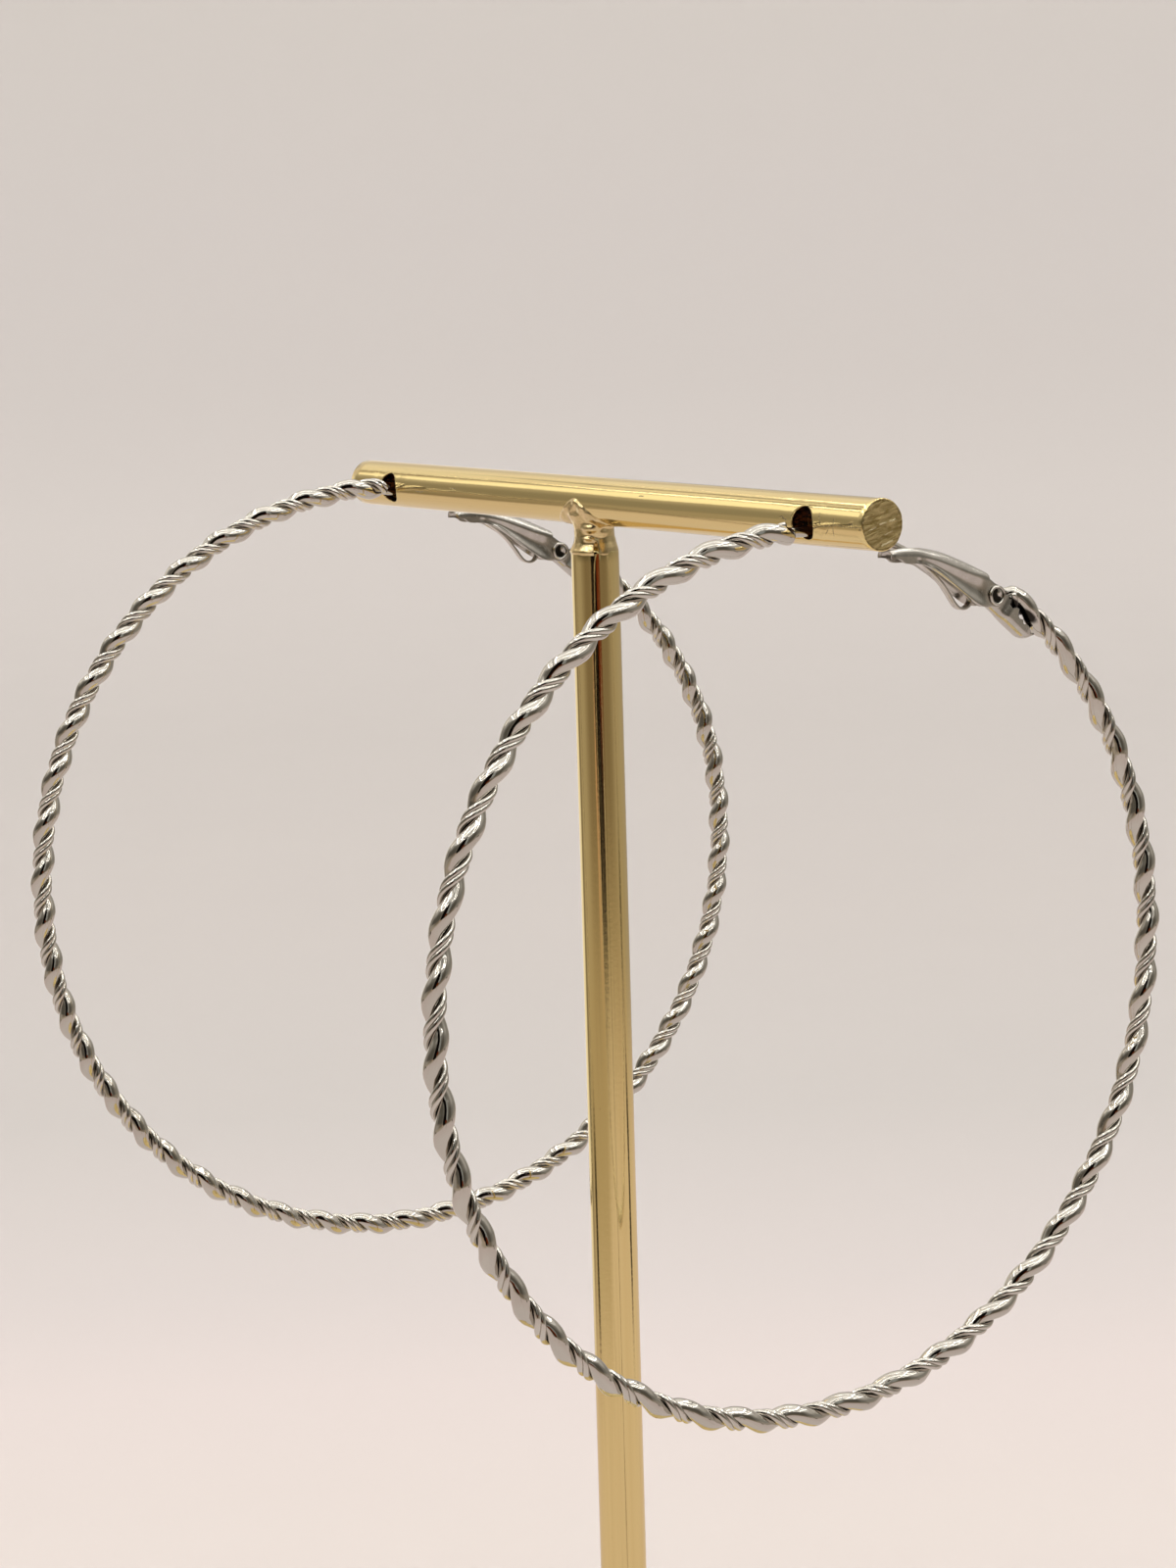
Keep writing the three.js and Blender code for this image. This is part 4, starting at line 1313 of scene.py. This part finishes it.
def build_foot():
    around = 192
    rows = [(0.0, 0.35), (26.6, 0.35), (26.9, 0.0), (28.6, 0.0), (29.2, 0.05), (29.62, 0.28), (29.9, 0.62), (30.0, 1.1)]
    rows += [(30.0, z) for z in np.linspace(1.5, 3.5, 6)]
    for k in range(1, 10):
        a = math.pi / 2 * k / 9
        rows.append((28.8 + 1.2 * math.cos(a), 3.8 + 1.2 * math.sin(a)))
    rows += [(r, 5.0) for r in np.linspace(28.2, 3.2, 26)]
    rows += [(2.62, 5.0), (2.42, 4.96), (2.33, 4.86), (2.3, 4.6), (2.3, 3.4), (2.3, 2.2), (2.2, 2.0), (0.0, 2.0)]
    verts, faces = [], []
    for r, z in rows:
        for j in range(around):
            t = 2 * math.pi * j / around
            verts.append((r * math.cos(t), r * math.sin(t), z))
    for i in range(len(rows) - 1):
        for j in range(around):
            k = (j + 1) % around
            faces.append((i * around + j, i * around + k, (i + 1) * around + k, (i + 1) * around + j))
    obj = make("stand_foot", verts, faces, [FOOT_MAT])
    bm = bmesh.new()
    bm.from_mesh(obj.data)
    bmesh.ops.remove_doubles(bm, verts=bm.verts, dist=0.0005 * MM)
    bmesh.ops.recalc_face_normals(bm, faces=bm.faces)
    bm.to_mesh(obj.data)
    bm.free()
    obj.data.set_sharp_from_angle(angle=math.radians(50))
    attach(obj, "stand_and_hoops")
    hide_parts("stand_base")
    return obj


build_bar()
build_post()
build_neck()
build_foot()
for which in ("front", "back"):
    build_rope(which)
    build_lever(which)
    build_spring(which)
    build_rivet(which)
    build_bracket(which)

# CAD nodes keep a finished material too, for wherever they are used
for node_name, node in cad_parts.items():
    finish = FOOT_MAT if node_name == "stand_base" else POST_MAT if node_name.startswith("stand") else SHEET_MAT
    for s in node.material_slots:
        s.material = finish

# ------------------------------------------------------------------ stage
def build_stage():
    """Seamless sweep: a pale floor that curves up far behind the stand."""
    profile = [(-1.6, 0.0), (-0.8, 0.0), (-0.3, 0.0), (0.0, 0.0), (0.5, 0.0)]
    bend, radius = 0.9, 1.1
    for k in range(1, 25):
        a = math.radians(86) * k / 24
        profile.append((bend + radius * math.sin(a), radius * (1 - math.cos(a))))
    last = profile[-1]
    profile.append((last[0] + 0.15, last[1] + 2.2))
    widths = np.linspace(-2.6, 2.6, 9)
    verts, faces = [], []
    for d, z in profile:
        for w in widths:
            p = flat_forward * d + flat_right * w
            verts.append((p[0] * 1000, p[1] * 1000, z * 1000))
    n = len(widths)
    for i in range(len(profile) - 1):
        for j in range(n - 1):
            faces.append((i * n + j, i * n + j + 1, (i + 1) * n + j + 1, (i + 1) * n + j))
    mat = bpy.data.materials.new("paper")
    mat.use_nodes = True
    tree = mat.node_tree
    shader = tree.nodes["Principled BSDF"]
    shader.inputs["Roughness"].default_value = 0.9
    shader.inputs["Specular IOR Level"].default_value = 0.1
    node = tree.nodes.new("ShaderNodeTexCoord")
    split = tree.nodes.new("ShaderNodeSeparateXYZ")
    tree.links.new(node.outputs["Object"], split.inputs[0])
    depth = S(tree, split.outputs[0]) * float(flat_forward[0]) + S(tree, split.outputs[1]) * float(flat_forward[1])
    height = S(tree, split.outputs[2])
    way = depth + height
    fibre = noise(tree, coords(tree, None, (1, 1, 1)), 0.02, 3.0, 0.6)
    # painted light and shade: the ramp makes the sweep lighter at its near edge and up the far curve, darker in
    # between, against the lamp's falloff
    ramp = tree.nodes.new("ShaderNodeValToRGB")
    painted_shading_stops = [
        (0.058, (0.685, 0.626, 0.61)),
        (0.107, (0.668, 0.602, 0.597)),
        (0.145, (0.614, 0.567, 0.565)),
        (0.235, (0.544, 0.515, 0.508)),
        (0.384, (0.55, 0.516, 0.507)),
        (0.635, (0.553, 0.521, 0.512)),
        (1.6, (0.707, 0.666, 0.662)),
        (2.2, (0.809, 0.771, 0.747)),
    ]
    while len(ramp.color_ramp.elements) < len(painted_shading_stops):
        ramp.color_ramp.elements.new(0.5)
    for element, (at, tone) in zip(ramp.color_ramp.elements, painted_shading_stops):
        element.position = at / 2.5
        element.color = (*tone, 1.0)
    link(tree, way * 0.4, ramp.inputs["Fac"])
    colour = S(tree, ramp.outputs["Color"])
    colour = mix(tree, fibre.range(0.3, 0.7, 0.0, 0.04), colour, (0.70, 0.66, 0.63))
    link(tree, colour, shader.inputs["Base Color"])
    obj = make("sweep", verts, faces, [mat])
    fix_normals(obj)
    obj.visible_glossy = False
    return obj


def build_surround():
    """Pale round wall and floor far behind the sweep, painted as a glow that only the camera sees, so that every side
    has a plain backdrop.
    """
    profile = [(0.0, -0.004), (1.2, -0.004), (2.4, -0.004)]
    for k in range(1, 13):
        a = math.pi / 2 * k / 12
        profile.append((2.4 + 0.9 * math.sin(a), 0.9 * (1 - math.cos(a)) - 0.004))
    profile += [(3.3, 2.0), (3.3, 3.4)]
    for k in range(1, 9):
        a = math.pi / 2 * k / 8
        profile.append((3.3 * math.cos(a) + 0.001, 3.4 + 1.2 * math.sin(a)))
    around = 72
    verts, faces = [], []
    for r, z in profile:
        for j in range(around):
            t = 2 * math.pi * j / around
            verts.append((r * math.cos(t) * 1000, r * math.sin(t) * 1000, z * 1000))
    for i in range(len(profile) - 1):
        for j in range(around):
            k = (j + 1) % around
            faces.append((i * around + j, (i + 1) * around + j, (i + 1) * around + k, i * around + k))
    mat = bpy.data.materials.new("surround")
    mat.use_nodes = True
    tree = mat.node_tree
    tree.nodes.remove(tree.nodes["Principled BSDF"])
    glow = tree.nodes.new("ShaderNodeEmission")
    tree.links.new(glow.outputs[0], tree.nodes["Material Output"].inputs["Surface"])
    node = tree.nodes.new("ShaderNodeTexCoord")
    split = tree.nodes.new("ShaderNodeSeparateXYZ")
    tree.links.new(node.outputs["Object"], split.inputs[0])
    # painted glow: the wall is no lamp but emits its own pale colour, lighter at the floor and darker up the wall
    colour = mix(tree, S(tree, split.outputs[2]).step(0.0, 0.9), (0.84, 0.745, 0.69), (0.68, 0.617, 0.572))
    link(tree, colour, glow.inputs["Color"])
    mat.cycles.emission_sampling = "NONE"
    obj = make("surround", verts, faces, [mat])
    obj.visible_glossy = False
    obj.visible_diffuse = False
    obj.visible_transmission = False
    obj.visible_shadow = False
    return obj


build_stage()
build_surround()


def build_world():
    """Light tent seen only by its light: pale floor, lit paper behind, a dim room in front with
    a dark doorway, and a bright lid with rows of small lamps."""
    world = bpy.data.worlds.new("tent")
    world.use_nodes = True
    bpy.context.scene.world = world
    tree = world.node_tree
    background = tree.nodes["Background"]
    split = tree.nodes.new("ShaderNodeSeparateXYZ")
    tree.links.new(tree.nodes.new("ShaderNodeTexCoord").outputs["Generated"], split.inputs[0])
    x, y, z = (S(tree, split.outputs[i]) for i in range(3))
    depth = x * float(flat_forward[0]) + y * float(flat_forward[1])
    side = x * float(flat_right[0]) + y * float(flat_right[1])
    turn = side.atan2(depth * -1.0) * (180 / math.pi)          # 0 towards the front, + to the right
    lift = z.asin() * (180 / math.pi)

    def box(left, right_, low_, high_, soft):
        return turn.window(left, right_, soft) * lift.window(low_, high_, soft)

    def over(colour, factor, tone):
        return mix(tree, factor, colour, tone)

    # dim room in front, side walls, lit paper behind
    colour = mix(tree, turn.step(-84, -104), (0.118, 0.106, 0.085), (0.30, 0.275, 0.235))
    colour = over(colour, turn.step(-124, -136), (0.94, 0.88, 0.82))
    colour = over(colour, turn.step(54, 72), (0.22, 0.205, 0.175))
    colour = over(colour, turn.step(76, 100), (0.32, 0.30, 0.26))
    colour = over(colour, turn.step(126, 150), (0.52, 0.48, 0.44))
    outer = turn.abs().step(60, 95)
    colour = over(colour, lift.step(8, 27) * outer, (0.60, 0.565, 0.51))
    colour = over(colour, lift.step(15, 30) * outer.invert() * 0.55, (0.34, 0.32, 0.28))
    colour = over(colour, turn.step(-130, -136) * lift.window(12, 27, 2), (0.70, 0.63, 0.55))
    # strip of table below the room, then the paper floor
    colour = over(colour, lift.step(0, -6) * turn.step(-128, -118), (0.23, 0.185, 0.135))
    colour = over(colour, lift.step(0, -6) * turn.step(-118, -110) * turn.abs().step(45, 84), (0.40, 0.355, 0.30))
    colour = over(colour, box(-27, -13, -17, -7, 1.5), (0.56, 0.37, 0.27))
    colour = over(colour, lift.step(-9.0, -14.0) * turn.abs().step(112, 100), (0.46, 0.385, 0.295))
    edge = lift + 18.0 - turn.step(-30, 10) * 4.0
    colour = over(colour, edge.step(2.5, -2.5), mix(tree, lift.step(-20, -55), (0.70, 0.60, 0.555), (0.74, 0.665, 0.62)))
    # lid
    lid = lift.step(29, 33)
    colour = over(colour, lid, (0.84, 0.81, 0.76))
    colour = over(colour, lift.step(36, 43), (1.20, 1.17, 1.10))
    colour = over(colour, turn.step(-128, -138) * lift.window(28, 48, 3), (0.94, 0.89, 0.83))
    colour = over(colour, turn.window(-26, 36, 5) * lift.window(35, 50, 4) * 0.75, (0.30, 0.29, 0.26))
    colour = over(colour, box(-126, -108, 21, 31, 1.2), (1.35, 1.28, 1.15))
    colour = over(colour, box(-131.5, -127.5, 24, 40, 0.8) * 0.8, (0.16, 0.13, 0.09))
    px, py = side / z.max(0.05), depth / z.max(0.05)
    lamps = ((px * 14.0).fract() - 0.5).abs().step(0.34, 0.22)
    rows = (py + 0.42).abs().step(0.034, 0.020) + (py + 1.05).abs().step(0.034, 0.020) + (py - 0.30).abs().step(0.034, 0.020)
    lamps_b = ((py * 14.0).fract() - 0.5).abs().step(0.34, 0.22)
    rows_b = ((px.abs() - 0.62).abs().step(0.034, 0.020) + (px.abs() - 1.2).abs().step(0.034, 0.020)) * py.abs().step(1.1, 1.0)
    spots = (lamps * rows * px.abs().step(1.3, 1.2) + lamps_b * rows_b) * lift.step(31, 33)
    seams = ((px.abs() - 0.80).abs().step(0.045, 0.030) + (py + 0.70).abs().step(0.045, 0.030)) * lift.step(33, 35)
    colour = over(colour, seams.min(1.0) * 0.85, (0.10, 0.095, 0.08))
    colour = over(colour, spots.min(1.0), (9.0, 8.8, 8.4))
    # upright rails either side of the doorway
    colour = over(colour, box(14, 26, -3, 30, 1.5), (0.35, 0.36, 0.335))
    colour = over(colour, box(12.0, 13.6, -10, 36, 0.5), (0.75, 0.70, 0.64))
    colour = over(colour, box(-30, -26, -6, 24, 1.2), (0.22, 0.20, 0.17))
    colour = over(colour, box(18.5, 21.0, -26, 10, 0.8) * 0.6, (0.10, 0.08, 0.05))
    # doorway
    dark = (0.006, 0.004, 0.003)
    colour = over(colour, box(-21.5, 11.5, -9.5, 37, 0.8), dark)
    colour = over(colour, box(-14, 9, 37, 46, 2.0) * 0.8, (0.05, 0.045, 0.04))
    colour = over(colour, box(-13, 9.5, -12.2, -4, 1.0), dark)
    colour = over(colour, box(4.0, 20.0, -8.0, 3, 1.2), (0.15, 0.030, 0.008))
    # small dark things on the floor at either side
    for a, b, c, d in ((-100, -88, -18.5, -15.0), (86, 97, -18, -14.0), (78, 88, -12.5, -10.5)):
        colour = over(colour, box(a, b, c, d, 0.8) * 0.95, (0.012, 0.010, 0.008))
    link(tree, colour, background.inputs["Color"])
    background.inputs["Strength"].default_value = 1.0


build_world()


def area(name, place_at, aim, size, power, tint=(1.0, 0.97, 0.94), glossy=False):
    data = bpy.data.lights.new(name, "AREA")
    data.shape = "RECTANGLE"
    data.size, data.size_y = size
    data.energy = power
    data.color = tint
    lamp = bpy.data.objects.new(name, data)
    lamp.location = place_at
    lamp.rotation_euler = (Vector(aim) - Vector(place_at)).to_track_quat("-Z", "Y").to_euler()
    lamp.visible_glossy = glossy
    lamp.visible_camera = False
    bpy.context.scene.collection.objects.link(lamp)
    return lamp


area("soft_lid", (0.15, -0.1, 1.3), (0.0, 0.0, 0.05), (1.6, 1.6), 4.0)

scene = bpy.context.scene
scene.view_settings.view_transform = "Standard"
scene.view_settings.look = "None"
scene.view_settings.exposure = 0.0
scene.view_settings.gamma = 1.0
